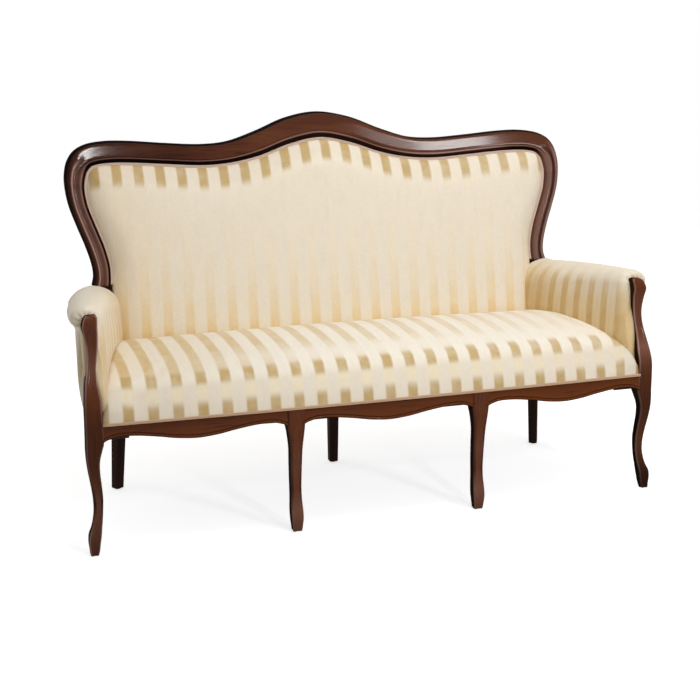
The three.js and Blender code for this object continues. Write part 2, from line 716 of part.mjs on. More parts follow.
function tackRail() {
  const rings = [];
  const half = edgesAt(lastIndex).inner.x + overrun;
  const [low, high] = [tackRailBottom, tackRailBottom + tackRailHeight];
  for (let i = -padColumns / 2; i <= padColumns / 2; i++) {
    const x = (half * 2 * i) / padColumns;
    const at = (z, depth) => point(x, backFaceY(x, z) + depth, z);
    const [near, far] = [padSeat + strapThickness + 2 * gap, padSeat + strapThickness + tackWidth];
    rings.push([at(low, near), at(low, far), at(high, far), at(high, near)]);
  }
  return trimmed(loft(rings), backStile(-1, gap), backStile(1, gap));
}

function backUpright(side) {
  const from = tackRailBottom + tackRailHeight + gap;
  const to = edgesAt(0).inner.z;
  const ring = (z) => {
    const at = (x, depth) => point(side * x, backFaceY(x, z) + depth, z);
    const [near, far] = [padSeat + strapThickness + 2 * gap, padSeat + strapThickness + tackWidth];
    const [inside, outside] = [backUprightX - uprightWidth / 2, backUprightX + uprightWidth / 2];
    return [at(inside, near), at(outside, near), at(outside, far), at(inside, far)];
  };
  return trimmed(loft([ring(from), ring(to)]), crestRail(gap));
}

// Webbing behind the back foam, from stile to stile
function backStrap(number) {
  const lift = (number + 1) / (backStrapCount + 1);
  const middle = lerp(tackRailBottom + tackRailHeight, edgesAt(cornerIndex).inner.z, lift);
  const half = padSideX(middle, -overrun);
  const rings = [];
  for (let i = -padColumns / 2; i <= padColumns / 2; i++) {
    const x = (half * 2 * i) / padColumns;
    const at = (z, depth) => point(x, backFaceY(x, z) + depth, z);
    const [low, high] = [middle - strapWidth / 2, middle + strapWidth / 2];
    const [near, far] = [padSeat + gap, padSeat + gap + strapThickness];
    rings.push([at(low, near), at(low, far), at(high, far), at(high, near)]);
  }
  return trimmed(loft(rings), backStile(-1, gap), backStile(1, gap));
}

// The covered board that closes the back
function outsideBack() {
  const outline = (u, v) => {
    const corner = insetEdge(cornerIndex, -boardLap);
    const z = lerp(railBottom, padTopZ(u * corner.x, -boardLap), v);
    return point(u * padSideX(lerp(railBottom, corner.z, v), -boardLap), 0, z);
  };
  const surface = (depth) => (u, v) => {
    const p = outline(u, v);
    return point(p.x, backFaceY(p.x, p.z) + frameDepth + depth, p.z);
  };
  return slab(padColumns, padRows, surface(gap), surface(gap + panelThickness));
}

const seatBase = railTop + gap + strapThickness + gap;

// The seat is widest at the front, crowned, and rolls down over its front edge
function seatSolid(inset = 0, sink = 0) {
  const rings = [];
  for (let i = 0; i <= seatColumns; i++) {
    const u = (2 * i) / seatColumns - 1;
    const front = frontFaceY(u * seatHalfFront) - seatOverhang + inset;
    const rear = seatRearY - inset;
    const swell = seatSwell * (1 - u * u);
    const profile = seatShares.map(([along, up]) => {
      const y = lerp(front, rear, along);
      const height = (seatHeight - seatBase + swell) * up - inset * Math.sign(up);
      return point(u * (armInnerX(y) - inset), y, seatBase + Math.max(height, up));
    });
    const under = (y) => point(u * (armInnerX(y) - inset), y, seatBase - sink);
    const floor = [rear, lerp(front, rear, 0.5), front];
    rings.push([...(sink > 0 ? profile : profile.slice(1)), ...floor.map(under)]);
  }
  return loft(rings);
}

function seatCover() {
  return trimmed(seatSolid(), seatSolid(coverThickness, overrun));
}

function seatBraid() {
  const rings = [];
  const half = kneeOuterX - kneeSide - 2 * gap;
  for (let i = -padColumns; i <= padColumns; i++) {
    const x = (half * i) / padColumns;
    const back = frontFaceY(x) - seatOverhang - gap;
    const [low, high] = [railTop + gap, railTop + gap + braidHeight];
    rings.push([
      point(x, back, low), point(x, back - braidThickness, low), point(x, back - braidThickness, high),
      point(x, back, high),
    ]);
  }
  return loft(rings);
}

function seatStrap(number) {
  const span = 2 * seatHalfRear - strapWidth;
  const x = span * ((number + 0.5) / strapCount - 0.5);
  const [low, high] = [railTop + gap, railTop + gap + strapThickness];
  const front = frontFaceY(x) + apronThickness / 2;
  const rear = backFaceY(x, railTop) - gap;
  const [from, to] = [x - strapWidth / 2, x + strapWidth / 2];
  return prism([[from, front], [to, front], [to, rear], [from, rear]], low, high);
}

// The dust cover laps under the side and cross rails and stops short of the legs
function dustCover() {
  const high = railBottom - gap;
  const front = innerKneeFrontY + innerKneeSide + gap;
  const rear = backFaceY(backLegX, railTop) - backRailWidth / 2;
  const half = (y) => railOuterX(y) - railWidth / 2;
  const sheet = prism([
    [-half(front), front + kneeSide], [-innerLegX, front],
    [innerLegX, front], [half(front), front + kneeSide],
    [half(rear), rear], [-half(rear), rear],
  ], high - dustThickness, high);
  const legs = [backLeg(-1, gap), backLeg(0, gap), backLeg(1, gap), cornerLeg(-1, gap), cornerLeg(1, gap)];
  return trimmed(sheet, ...legs);
}

function glide(x, y) {
  const disc = new THREE.CylinderGeometry(glideRadius, glideRadius, glideHeight, glideSides);
  disc.rotateX(Math.PI / 2);
  disc.translate(x, y, glideHeight / 2);
  return disc;
}

function addFrame() {
  addPiece('crest_rail', crestRail(), wood());
  for (const [name, side] of sides) {
    addPiece(`${name}_back_stile`, backStile(side), wood());
    addPiece(`front_${name}_leg`, cornerLeg(side), wood());
    addPiece(`front_inner_${name}_leg`, innerLeg(side), wood());
    addPiece(`back_${name}_leg`, backLeg(side), wood());
    addPiece(`${name}_side_rail`, trimmed(sideRail(side), backRail(gap)), wood());
    addPiece(`${name}_cross_rail`, trimmed(crossRail(side), backRail(gap)), innerWood());
    addPiece(`front_${name}_block`, frontBlock(side), innerWood());
    addPiece(`back_${name}_block`, rearBlock(side), innerWood());
    addPiece(`${name}_arm_rail`, armRail(side), innerWood());
    addPiece(`back_${name}_upright`, backUpright(side), innerWood());
  }
  addPiece('back_centre_leg', backLeg(0), wood());
  addPiece('back_seat_rail', backRail(), innerWood());
  addPiece('back_tack_rail', tackRail(), innerWood());
  const [kneeInner, legOuter, legInner] = [
    kneeOuterX - kneeSide - gap, innerLegX + innerKneeSide / 2 + gap, innerLegX - innerKneeSide / 2 - gap];
  addPiece('front_left_rail', frontRail(-kneeInner, -legOuter), wood());
  addPiece('front_centre_rail', frontRail(-legInner, legInner), wood());
  addPiece('front_right_rail', frontRail(legOuter, kneeInner), wood());
}

function addPadding() {
  addPiece('seat_foam', seatSolid(coverThickness + gap), fabric(foamColour, 0.9));
  addPiece('seat_cover', seatCover(), fabric());
  addPiece('seat_braid', seatBraid(), fabric(trimColour, 0.8));
  addPiece('back_foam', backFoam(), fabric(foamColour, 0.9));
  addPiece('back_cover', backCover(), fabric());
  addPiece('back_gimp', backGimp(), fabric(trimColour, 0.8));
  addPiece('outside_back', outsideBack(), fabric());
  for (const [name, side] of sides) {
    addPiece(`${name}_arm_pad`, armPad(side), fabric());
    addPiece(`${name}_arm_panel`, armPanel(side), fabric());
  }
  const webbing = () => fabric(webColour, 0.9);
  for (let i = 0; i < strapCount; i++) addPiece(`seat_strap_${i + 1}`, seatStrap(i), webbing());
  for (let i = 0; i < backStrapCount; i++) addPiece(`back_strap_${i + 1}`, backStrap(i), webbing());
  addPiece('dust_cover', dustCover(), fabric(dustColour, 0.95));
}

function addGlides() {
  const cornerFoot = cornerLegShares[0][1] * kneeSide;
  const innerFoot = innerLegShares[0][1] * innerKneeSide;
  for (const [name, side] of sides) {
    const x = kneeOuterX + cornerLegShares[0][2] * kneeSide - cornerFoot / 2;
    const y = kneeFrontY + cornerLegShares[0][3] * kneeSide + cornerFoot / 2;
    addPiece(`front_${name}_glide`, glide(side * x, y), fabric(feltColour, 0.95));
    const innerY = innerKneeFrontY + innerLegShares[0][2] * innerKneeSide + innerFoot / 2;
    addPiece(`front_inner_${name}_glide`, glide(side * innerLegX, innerY), fabric(feltColour, 0.95));
    const backY = backLegPlace(backLegX) + backLegRake;
    addPiece(`back_${name}_glide`, glide(side * (backLegX + backLegSplay), backY), fabric(feltColour, 0.95));
  }
  addPiece('back_centre_glide', glide(0, backLegPlace(0)), fabric(feltColour, 0.95));
}

addFrame();
addPadding();
addGlides();

// Centre the sofa over its footprint
const foremost = frontFaceY(0) - seatOverhang - gap - braidThickness;
const rearmost = backFaceY(0, crestHeight) + frameDepth;
sofa.position.y = -(foremost + rearmost) / 2;

export default sofa;
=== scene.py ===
# The looks of a cabriole sofa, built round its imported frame. Metres, +Z up, the sofa faces -Y.
import math
import bpy
import bmesh
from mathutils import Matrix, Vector


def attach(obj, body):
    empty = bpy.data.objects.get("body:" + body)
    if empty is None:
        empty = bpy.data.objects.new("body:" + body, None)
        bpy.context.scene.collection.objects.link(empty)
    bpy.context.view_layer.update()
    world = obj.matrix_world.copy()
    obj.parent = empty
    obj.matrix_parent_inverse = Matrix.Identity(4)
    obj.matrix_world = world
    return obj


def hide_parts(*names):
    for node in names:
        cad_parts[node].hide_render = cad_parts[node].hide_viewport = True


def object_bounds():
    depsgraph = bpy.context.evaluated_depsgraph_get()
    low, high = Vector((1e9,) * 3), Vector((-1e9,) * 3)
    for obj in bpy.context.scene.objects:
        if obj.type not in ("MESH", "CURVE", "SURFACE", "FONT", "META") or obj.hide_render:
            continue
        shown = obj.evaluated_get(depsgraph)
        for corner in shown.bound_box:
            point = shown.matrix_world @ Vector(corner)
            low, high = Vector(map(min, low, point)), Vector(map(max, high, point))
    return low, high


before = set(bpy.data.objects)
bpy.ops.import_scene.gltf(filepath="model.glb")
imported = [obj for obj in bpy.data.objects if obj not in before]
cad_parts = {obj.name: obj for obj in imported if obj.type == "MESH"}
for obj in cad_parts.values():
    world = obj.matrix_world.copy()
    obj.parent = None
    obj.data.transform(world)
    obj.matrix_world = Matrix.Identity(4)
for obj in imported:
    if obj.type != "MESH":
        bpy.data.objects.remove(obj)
cadLow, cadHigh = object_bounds()
print("frame loaded", [round(v, 4) for v in (*cadLow, *cadHigh)])

# Sizes that several pieces share. Depths are measured back from the line of the front feet.
sofa = {
    "railTop": 0.350, "railBottom": 0.305, "postTop": 0.656, "seatTop": 0.476, "clearance": 0.0003,
    "backHalf": 0.781, "crestTop": 1.083, "armJoin": 0.613, "frameDepth": 0.032,
    "kneeOuter": 0.817, "kneeSide": 0.041, "kneeFront": -0.003, "innerLegX": 0.268, "innerKneeSide": 0.043,
    "frontBow": 0.012, "seatDepth": 0.457, "seatHalfFront": 0.767, "seatHalfRear": 0.641,
    "leftGive": 0.018,
    "railOuterFront": 0.814, "railOuterRear": 0.758, "coverOut": 0.005, "braidThick": 0.0025,
    "backFooting": 0.5095, "backBow": 0.0466, "backBowSpan": 0.7, "backSlope": 0.201, "glideHeight": 0.0025,
}
frontLine = cadLow.y + sofa["frontBow"] + sofa["coverOut"] + sofa["clearance"] + sofa["braidThick"]
sides = [("left", -1), ("right", 1)]


def lerp(a, b, t):
    return a + (b - a) * t


def clamp(value, low=0.0, high=1.0):
    return max(low, min(high, value))


def ease(value):
    t = clamp(value)
    return t * t * (3 - 2 * t)


# A centripetal curve through points of any number of values
def smoothPath(points, steps):
    points = [Vector(p) for p in points]
    path = []
    for i in range(len(points) - 1):
        p1, p2 = points[i], points[i + 1]
        p0 = points[i - 1] if i else 2 * p1 - p2
        p3 = points[i + 2] if i + 2 < len(points) else 2 * p2 - p1
        d0, d1, d2 = [max((b - a).length ** 0.5, 1e-6) for a, b in ((p0, p1), (p1, p2), (p2, p3))]
        leave = ((p1 - p0) / d0 - (p2 - p0) / (d0 + d1) + (p2 - p1) / d1) * d1
        arrive = ((p2 - p1) / d1 - (p3 - p1) / (d1 + d2) + (p3 - p2) / d2) * d1
        for s in range(steps):
            t = s / steps
            a, b = 2 * t ** 3 - 3 * t ** 2 + 1, t ** 3 - 2 * t ** 2 + t
            c, d = 3 * t ** 2 - 2 * t ** 3, t ** 3 - t ** 2
            path.append(p1 * a + leave * b + p2 * c + arrive * d)
    return path + [points[-1]]


# From 0 to 1 over a stretch, which is given by its start and its length
def rising(value, stretch):
    start, length = stretch
    return ease((value - start) / length)


def falling(value, stretch):
    return 1 - rising(value, stretch)


# A row of a rising table, mixed from the two rows round a first value
def tableAt(table, value):
    for a, b in zip(table, table[1:]):
        if value <= b[0]:
            return Vector(a).lerp(Vector(b), clamp((value - a[0]) / (b[0] - a[0])))
    return Vector(table[-1])


def backFaceY(x, z):
    rise = max(z - sofa["railTop"], 0)
    bow = sofa["backBow"] * (x / sofa["backBowSpan"]) ** 2
    return frontLine + sofa["backFooting"] + sofa["backSlope"] * rise - bow


def frontFaceY(x):
    return frontLine - sofa["frontBow"] * (1 - (x / sofa["kneeOuter"]) ** 2)


# How far a place lies from the back of the seat, 0, to the front line, 1
def runAt(y):
    return (frontLine + sofa["seatDepth"] - y) / sofa["seatDepth"]


# The left arm stands a little further out behind its post than the right one
def armInnerX(y, side=1):
    give = sofa["leftGive"] * (1 - clamp(runAt(y)) ** 3) if side < 0 else 0
    return lerp(sofa["seatHalfRear"], sofa["seatHalfFront"], runAt(y)) + give


def railOuterX(y):
    return lerp(sofa["railOuterRear"], sofa["railOuterFront"], runAt(y))


# A ring is drawn, pulled out from station to station, and closed at both ends
def pulled(name, rings):
    bpy.ops.object.select_all(action="DESELECT")
    bpy.ops.mesh.primitive_circle_add(vertices=len(rings[0]))
    piece = bpy.context.object
    piece.name = piece.data.name = name
    bpy.ops.object.mode_set(mode="EDIT")
    for number, ring in enumerate(rings):
        if number:
            bpy.ops.mesh.extrude_region_move()
        mesh = bmesh.from_edit_mesh(piece.data)
        for vertex, place in zip([v for v in mesh.verts if v.select], ring):
            vertex.co = place
    bpy.ops.mesh.select_all(action="SELECT")
    bpy.ops.mesh.fill_holes(sides=0)
    return closedUp(piece)


# A sheet is drawn as a grid, laid over a surface and pulled back to a second surface
def slabbed(name, columns, rows, front, back):
    bpy.ops.object.select_all(action="DESELECT")
    bpy.ops.mesh.primitive_grid_add(x_subdivisions=columns, y_subdivisions=rows, size=2)
    piece = bpy.context.object
    piece.name = piece.data.name = name
    bpy.ops.object.mode_set(mode="EDIT")
    mesh = bmesh.from_edit_mesh(piece.data)
    places = [(v.co.x, (v.co.y + 1) / 2) for v in mesh.verts]
    for vertex, place in zip(mesh.verts, places):
        vertex.co = front(*place)
    bpy.ops.mesh.select_all(action="SELECT")
    bpy.ops.mesh.extrude_region_move()
    mesh = bmesh.from_edit_mesh(piece.data)
    for vertex, place in zip([v for v in mesh.verts if v.select], places):
        vertex.co = back(*place)
    return closedUp(piece)


meshing = {"weld": 0.00002, "mouldingAngle": 38, "barAngle": 50}


def closedUp(piece):
    bpy.ops.mesh.select_all(action="SELECT")
    bpy.ops.mesh.remove_doubles(threshold=meshing["weld"])
    bpy.ops.mesh.normals_make_consistent(inside=False)
    bpy.ops.object.mode_set(mode="OBJECT")
    bpy.ops.object.shade_smooth()
    return piece


def picked(piece):
    bpy.ops.object.select_all(action="DESELECT")
    piece.select_set(True)
    bpy.context.view_layer.objects.active = piece


# Edges that are steeper than the angle of a moulding, or of a bar, stay sharp
def crisp(piece, kind="bar"):
    picked(piece)
    bpy.ops.object.shade_smooth_by_angle(angle=math.radians(meshing[kind + "Angle"]))
    return piece


def finer(piece):
    picked(piece)
    modifier = piece.modifiers.new("finer", "SUBSURF")
    modifier.levels = modifier.render_levels = 1
    bpy.ops.object.modifier_apply(modifier=modifier.name)


# A mark is a value on every vertex, in the order in which they were drawn. The finishes read it by name.
def listed(piece, name, values):
    layer = piece.data.attributes.new(name, "FLOAT", "POINT")
    count = len(piece.data.vertices)
    layer.data.foreach_set("value", (list(values) + [0.0] * count)[:count])
    return piece


# A mark that is worked out from each vertex's place
def marked(piece, name, valueAt):
    return listed(piece, name, [valueAt(v.co) for v in piece.data.vertices])


# A piece takes its finish and its place among the bodies
def dressed(piece, finish, slotName, *nodes):
    piece.data.materials.clear()
    piece.data.materials.append(finish)
    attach(piece, "root")
    if nodes:
        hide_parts(*nodes)
    return piece


# A socket that can be used in sums
class Amount:
    def __init__(self, tree, socket):
        self.tree, self.socket = tree, socket

    def sum(self, operation, first, second=None):
        node = self.tree.nodes.new("ShaderNodeMath")
        node.operation = operation
        for slot, value in zip(node.inputs, (first, second)):
            if isinstance(value, Amount):
                self.tree.links.new(value.socket, slot)
            elif value is not None:
                slot.default_value = value
        return Amount(self.tree, node.outputs[0])

    def __add__(self, other):
        return self.sum("ADD", self, other)

    def __sub__(self, other):
        return self.sum("SUBTRACT", self, other)

    def __rsub__(self, other):
        return self.sum("SUBTRACT", other, self)

    def __mul__(self, other):
        return self.sum("MULTIPLY", self, other)

    def __truediv__(self, other):
        return self.sum("DIVIDE", self, other)

    def fraction(self):
        return self.sum("FRACT", self)

    def size(self):
        return self.sum("ABSOLUTE", self)

    def most(self, other):
        return self.sum("MAXIMUM", self, other)

    __radd__, __rmul__ = __add__, __mul__


class Nodes:
    def __init__(self, tree):
        self.tree = tree

    # Any node: its settings first, then the values or links of its sockets, by name or number
    def node(self, kind, settings=None, output=0, **sockets):
        node = self.tree.nodes.new("ShaderNode" + kind)
        for key, value in (settings or {}).items():
            setattr(node, key, value)
        for key, value in sockets.items():
            slot = node.inputs[int(key[1:])] if key[1:].isdigit() else node.inputs[key.replace("_", " ")]
            if isinstance(value, Amount):
                self.tree.links.new(value.socket, slot)
            else:
                slot.default_value = value
        return Amount(self.tree, node.outputs[output])

    def place(self):
        return self.node("TexCoord", output="Object")

    def along(self, axis):
        return self.node("SeparateXYZ", output=axis, Vector=self.place())

    def mark(self, name):
        return self.node("Attribute", {"attribute_name": name}, output="Fac")

    def stretched(self, scale):
        return self.node("Mapping", Vector=self.place(), Scale=scale)

    def noise(self, scale, stretch=(1, 1, 1), detail=4.0, roughness=0.55):
        return self.node("TexNoise", Vector=self.stretched(stretch), Scale=scale, Detail=detail,
                         Roughness=roughness)

    # Noise that is drawn out along one axis
    def grain(self, axis, scale, pull, detail, roughness=0.55):
        return self.noise(scale, [pull if a == axis else 1 for a in "XYZ"], detail, roughness)

    def bands(self, direction, scale, distortion=0.0):
        return self.node("TexWave", {"wave_type": "BANDS", "bands_direction": direction}, Vector=self.place(),
                         Scale=scale, Distortion=distortion)

    def ramp(self, value, low, high):
        return self.node("MapRange", {"interpolation_type": "SMOOTHSTEP"}, Value=value, From_Min=low,
                         From_Max=high)

    def mix(self, factor, first, second, blend="MIX"):
        return self.node("Mix", {"data_type": "RGBA", "blend_type": blend}, output=2, _0=factor, _6=first,
                         _7=second)

    def bump(self, height, strength, distance):
        return self.node("Bump", Height=height, Strength=strength, Distance=distance)

    # The rays that see the white studio: straight from the camera, mirrored or let through
    def showing(self):
        camera, glossy, through = [self.node("LightPath", output=f"Is {kind} Ray")
                                   for kind in ("Camera", "Glossy", "Transmission")]
        return camera.most(glossy).most(through)


class Finish(Nodes):
    def __init__(self, name, **fixed):
        self.material = bpy.data.materials.new(name)
        self.material.use_nodes = True
        super().__init__(self.material.node_tree)
        self.shader = self.tree.nodes["Principled BSDF"]
        for key, value in fixed.items():
            self.shader.inputs[key.replace("_", " ")].default_value = value

    def feed(self, **sockets):
        for key, value in sockets.items():
            self.tree.links.new(value.socket, self.shader.inputs[key.replace("_", " ")])
        return self.material


# Studio
studio = {
    "cameraPlace": (-1.1399, -3.4638, 1.3414), "cameraPitch": 14.357, "cameraYaw": 18.179,
    "lens": 65.34, "sensor": 36,
    "backdropWhite": 1.0, "skyTop": 0.51, "skySide": 0.29,
    "lamps": [
        # name, place, aimed at, width, height, watts
        ("topBox", (0.4, -0.5, 3.0), (0.2, 0.0, 0.3), 2.0, 1.2, 34.5),
        ("keyBox", (2.3, -3.2, 2.9), (0.0, 0.1, 0.6), 1.5, 1.0, 4),
        # narrow boxes that the lacquer of the crest and the stiles mirrors
        ("crestBox", (1.121, -2.45, 1.85), (0.4, 0.28, 0.98), 0.128, 0.24, 6.2),
        ("crestFade", (1.007, -2.45, 1.85), (0.4, 0.28, 0.98), 0.10, 0.24, 1.0),
        ("shoulderBox", (0.398, -2.45, 1.87), (-0.7, 0.26, 1.0), 0.036, 0.24, 5.0),
        ("leftStrip", (0.355, -2.45, 1.40), (-0.7, 0.2, 0.8), 0.10, 0.46, 5),
        ("rightStrip", (1.27, -2.45, 1.42), (0.7, 0.2, 0.8), 0.20, 0.46, 8),
    ],
    # the floor fades out between two distances from the sofa
    "floorHalf": 9.0, "floorCells": 4, "floorFade": (3.2, 6.5), "floorGlow": 0.72,
    "floorColour": (0.72, 0.72, 0.72, 1),
    "black": (0, 0, 0, 1), "white": (1, 1, 1, 1),
}


def makeCamera():
    data = bpy.data.cameras.new("studioCamera")
    camera = bpy.data.objects.new("studioCamera", data)
    bpy.context.scene.collection.objects.link(camera)
    camera.location = studio["cameraPlace"]
    camera.rotation_euler = (math.radians(90 - studio["cameraPitch"]), 0, -math.radians(studio["cameraYaw"]))
    data.lens = studio["lens"]
    data.sensor_width = studio["sensor"]
    bpy.context.scene.camera = camera


def makeLamps():
    for name, place, target, width, height, watts in studio["lamps"]:
        data = bpy.data.lights.new(name, "AREA")
        data.shape, data.size, data.size_y, data.energy = "RECTANGLE", width, height, watts
        lamp = bpy.data.objects.new(name, data)
        bpy.context.scene.collection.objects.link(lamp)
        lamp.location = place
        lamp.rotation_mode = "QUATERNION"
        lamp.rotation_quaternion = (Vector(target) - Vector(place)).to_track_quat("-Z", "Y")


# The room is white where it is seen, and lights the sofa more from above
def makeRoom():
    world = bpy.data.worlds.new("studioRoom")
    bpy.context.scene.world = world
    world.use_nodes = True
    room = Nodes(world.node_tree)
    upward = room.node("SeparateXYZ", output="Z", Vector=room.node("TexCoord", output="Generated"))
    light = studio["skySide"] + upward.most(0.0) * (studio["skyTop"] - studio["skySide"])
    level = room.node("Mix", {"data_type": "FLOAT"}, _0=room.showing(), _2=light, _3=studio["backdropWhite"])
    background = room.tree.nodes["Background"]
    room.tree.links.new(level.socket, background.inputs["Strength"])
    background.inputs["Color"].default_value = studio["white"]
    bpy.context.scene.view_settings.view_transform = "Standard"


def makeFloor():
    cells = studio["floorCells"]
    bpy.ops.object.select_all(action="DESELECT")
    bpy.ops.mesh.primitive_grid_add(x_subdivisions=cells, y_subdivisions=cells, size=2 * studio["floorHalf"])
    floor = bpy.context.object
    floor.name = "studioFloor"
    finish = Finish("paleFloor", Roughness=0.9, Specular_IOR_Level=0.1, Base_Color=studio["floorColour"],
                    Emission_Strength=1.0)
    radius = finish.node("VectorMath", {"operation": "LENGTH"}, output="Value", _0=finish.place())
    glow = finish.mix(finish.showing() * studio["floorGlow"], studio["black"], studio["white"])
    finish.feed(Alpha=1 - finish.ramp(radius, *studio["floorFade"]), Emission_Color=glow)
    floor.data.materials.append(finish.material)


makeCamera()
makeLamps()
makeRoom()
makeFloor()
print("studio ready")


# Show wood: stained mahogany under gloss lacquer, its grain drawn out along one axis
wood = {
    "dark": (0.050, 0.0125, 0.0060, 1), "mid": (0.098, 0.0265, 0.0100, 1), "light": (0.140, 0.044, 0.0170, 1),
    # the dark of the glaze and of painted shade, and the greyish colour of painted highlights
    "glazeAndShade": (0.0060, 0.0022, 0.0016, 1), "highlightTint": (0.42, 0.27, 0.225, 1),
    "amber": (0.150, 0.039, 0.0085, 1),
    # scale, pull along the grain, detail and roughness of each noise
    "figure": (26, 0.06, 6, 0.62), "streak": (83.2, 0.06, 5, 0.7), "pore": (230, 0.035, 3), "cloudScale": 3.0,
    # how much of each makes up the tone, and where in it a colour comes in
    "figurePart": 0.5, "streakPart": 0.3, "cloudPart": 0.35,
    "midRange": (0.42, 0.66), "lightRange": (0.6, 0.78), "poreRange": (0.58, 0.7), "poreDark": 0.45,
    # painted light: pieces along the sofa are lighter to the right, where more light falls
    "litRange": (-0.7, 0.7), "litFromRight": 0.45,
    "gloss": 0.30, "streakGloss": 0.1, "poreRelief": 0.4, "streakRelief": 0.6,
    # the coat, and how much of it the glaze with its painted shade and the amber take away
    "coat": 0.20, "glazeDull": 0.85, "amberDull": 0.7,
}


# Marks on the mouldings: dark glaze and painted shade lie in the hollows, and painted highlights lie along
# the arrises
def makeShowWood(name, grain):
    finish = Finish(name, Coat_Roughness=0.06, IOR=1.0)
    figure, streak = finish.grain(grain, *wood["figure"]), finish.grain(grain, *wood["streak"])
    cloud = finish.noise(wood["cloudScale"], detail=2)
    tone = figure * wood["figurePart"] + streak * wood["streakPart"] + cloud * wood["cloudPart"]
    body = finish.mix(finish.ramp(tone, *wood["midRange"]), wood["dark"], wood["mid"])
    body = finish.mix(finish.ramp(tone, *wood["lightRange"]), body, wood["light"])
    # painted light: pieces with their grain along the sofa grow lighter to the right
    if grain == "X":
        litToRight = finish.ramp(finish.along("X"), *wood["litRange"])
        body = finish.mix(litToRight * wood["litFromRight"], body, wood["light"])
    amber, glazeAndShade = finish.mark("amber"), finish.mark("glazeAndShade")
    pores = finish.ramp(finish.grain(grain, *wood["pore"]), *wood["poreRange"])
    # amber, dark pores, painted highlights, and glaze with painted shade
    stainsAndPaintedLight = [(amber, "amber"), (pores * wood["poreDark"], "glazeAndShade"), (finish.mark("highlight"), "highlightTint"),
              (glazeAndShade, "glazeAndShade")]
    for factor, colour in stainsAndPaintedLight:
        body = finish.mix(factor, body, wood[colour])
    height = pores * wood["poreRelief"] + streak * wood["streakRelief"]
    relief = finish.bump(height, strength=0.05, distance=0.0004)
    coat = wood["coat"] * (1 - glazeAndShade * wood["glazeDull"]) * (1 - amber * wood["amberDull"])
    return finish.feed(Base_Color=body, Roughness=wood["gloss"] + streak * wood["streakGloss"], Normal=relief,
                       Coat_Weight=coat)


showWoodX, showWoodZ, showWoodY = [makeShowWood("showWood" + axis, axis) for axis in "XZY"]


# Satin stripes: gold on cream, in the places and strengths that the cover's marks give. Most marks paint
# light
# and shade: sheen, dark reflections and shade.
satin = {
    "goldShare": 0.217, "edgeShare": 0.055, "lean": 0.03,
    # cream, cool cream and gold are the cloth's own colours; the pale gold and the pale cream are painted
    # sheen, the tan gold, warm and shade colours painted shade, and the block colour a painted dark
    # reflection
    "cream": (0.79, 0.70, 0.555, 1), "creamCool": (0.77, 0.695, 0.575, 1), "sheenGold": (0.82, 0.715, 0.50, 1),
    "gold": (0.735, 0.555, 0.285, 1), "tan": (0.62, 0.455, 0.225, 1), "block": (0.49, 0.335, 0.125, 1),
    "warm": (0.95, 0.78, 0.45, 1), "shade": (0.36, 0.26, 0.14, 1), "sheen": (0.84, 0.79, 0.70, 1),
    # each cover: the axis across its stripes, the middle of one stripe, the pitch, the axis along the
    # thread and how far the stripes lean over with height
    "covers": {
        "stripedSatinSeat": ("X", 0.0005, 0.0645, "Y", 0),
        "stripedSatinBack": ("X", -0.0135, 0.0643, "Z", 0.024),
        "stripedSatinArm": ("Y", frontLine + 0.0815, 0.0555, "Z", 0),
        "stripedSatinOutside": ("X", 0, 0.0643, "Z", 0),
    },
    # whole turns are added to keep the count above nought, and half a turn puts a stripe in its middle
    "turns": 40, "half": 0.5,
    # the stripes wander a little, and their gold is uneven
    "wander": 0.003, "wanderScale": 7.0, "unevenScale": 23, "unevenRange": (0.35, 0.7),
    "most": 1.08, "loss": 0.26,
    # scale, pull along the thread and detail of the threads and of their slubs, and where these show how much
    "thread": (420, 0.05, 2), "threadRange": (0.35, 0.75), "threadDark": 0.12,
    "slub": (60, 0.12, 3), "slubRange": (0.4, 0.75), "slubDark": 0.07, "between": (0.55, 0.45, 0.32, 1),
    "creamScale": 11, "gloss": 0.60, "stripeGloss": 0.12, "threadGloss": 0.08,
    "weaveScale": 160, "weaveDistortion": 0.6, "threadRelief": 0.7, "weaveRelief": 0.3,
}


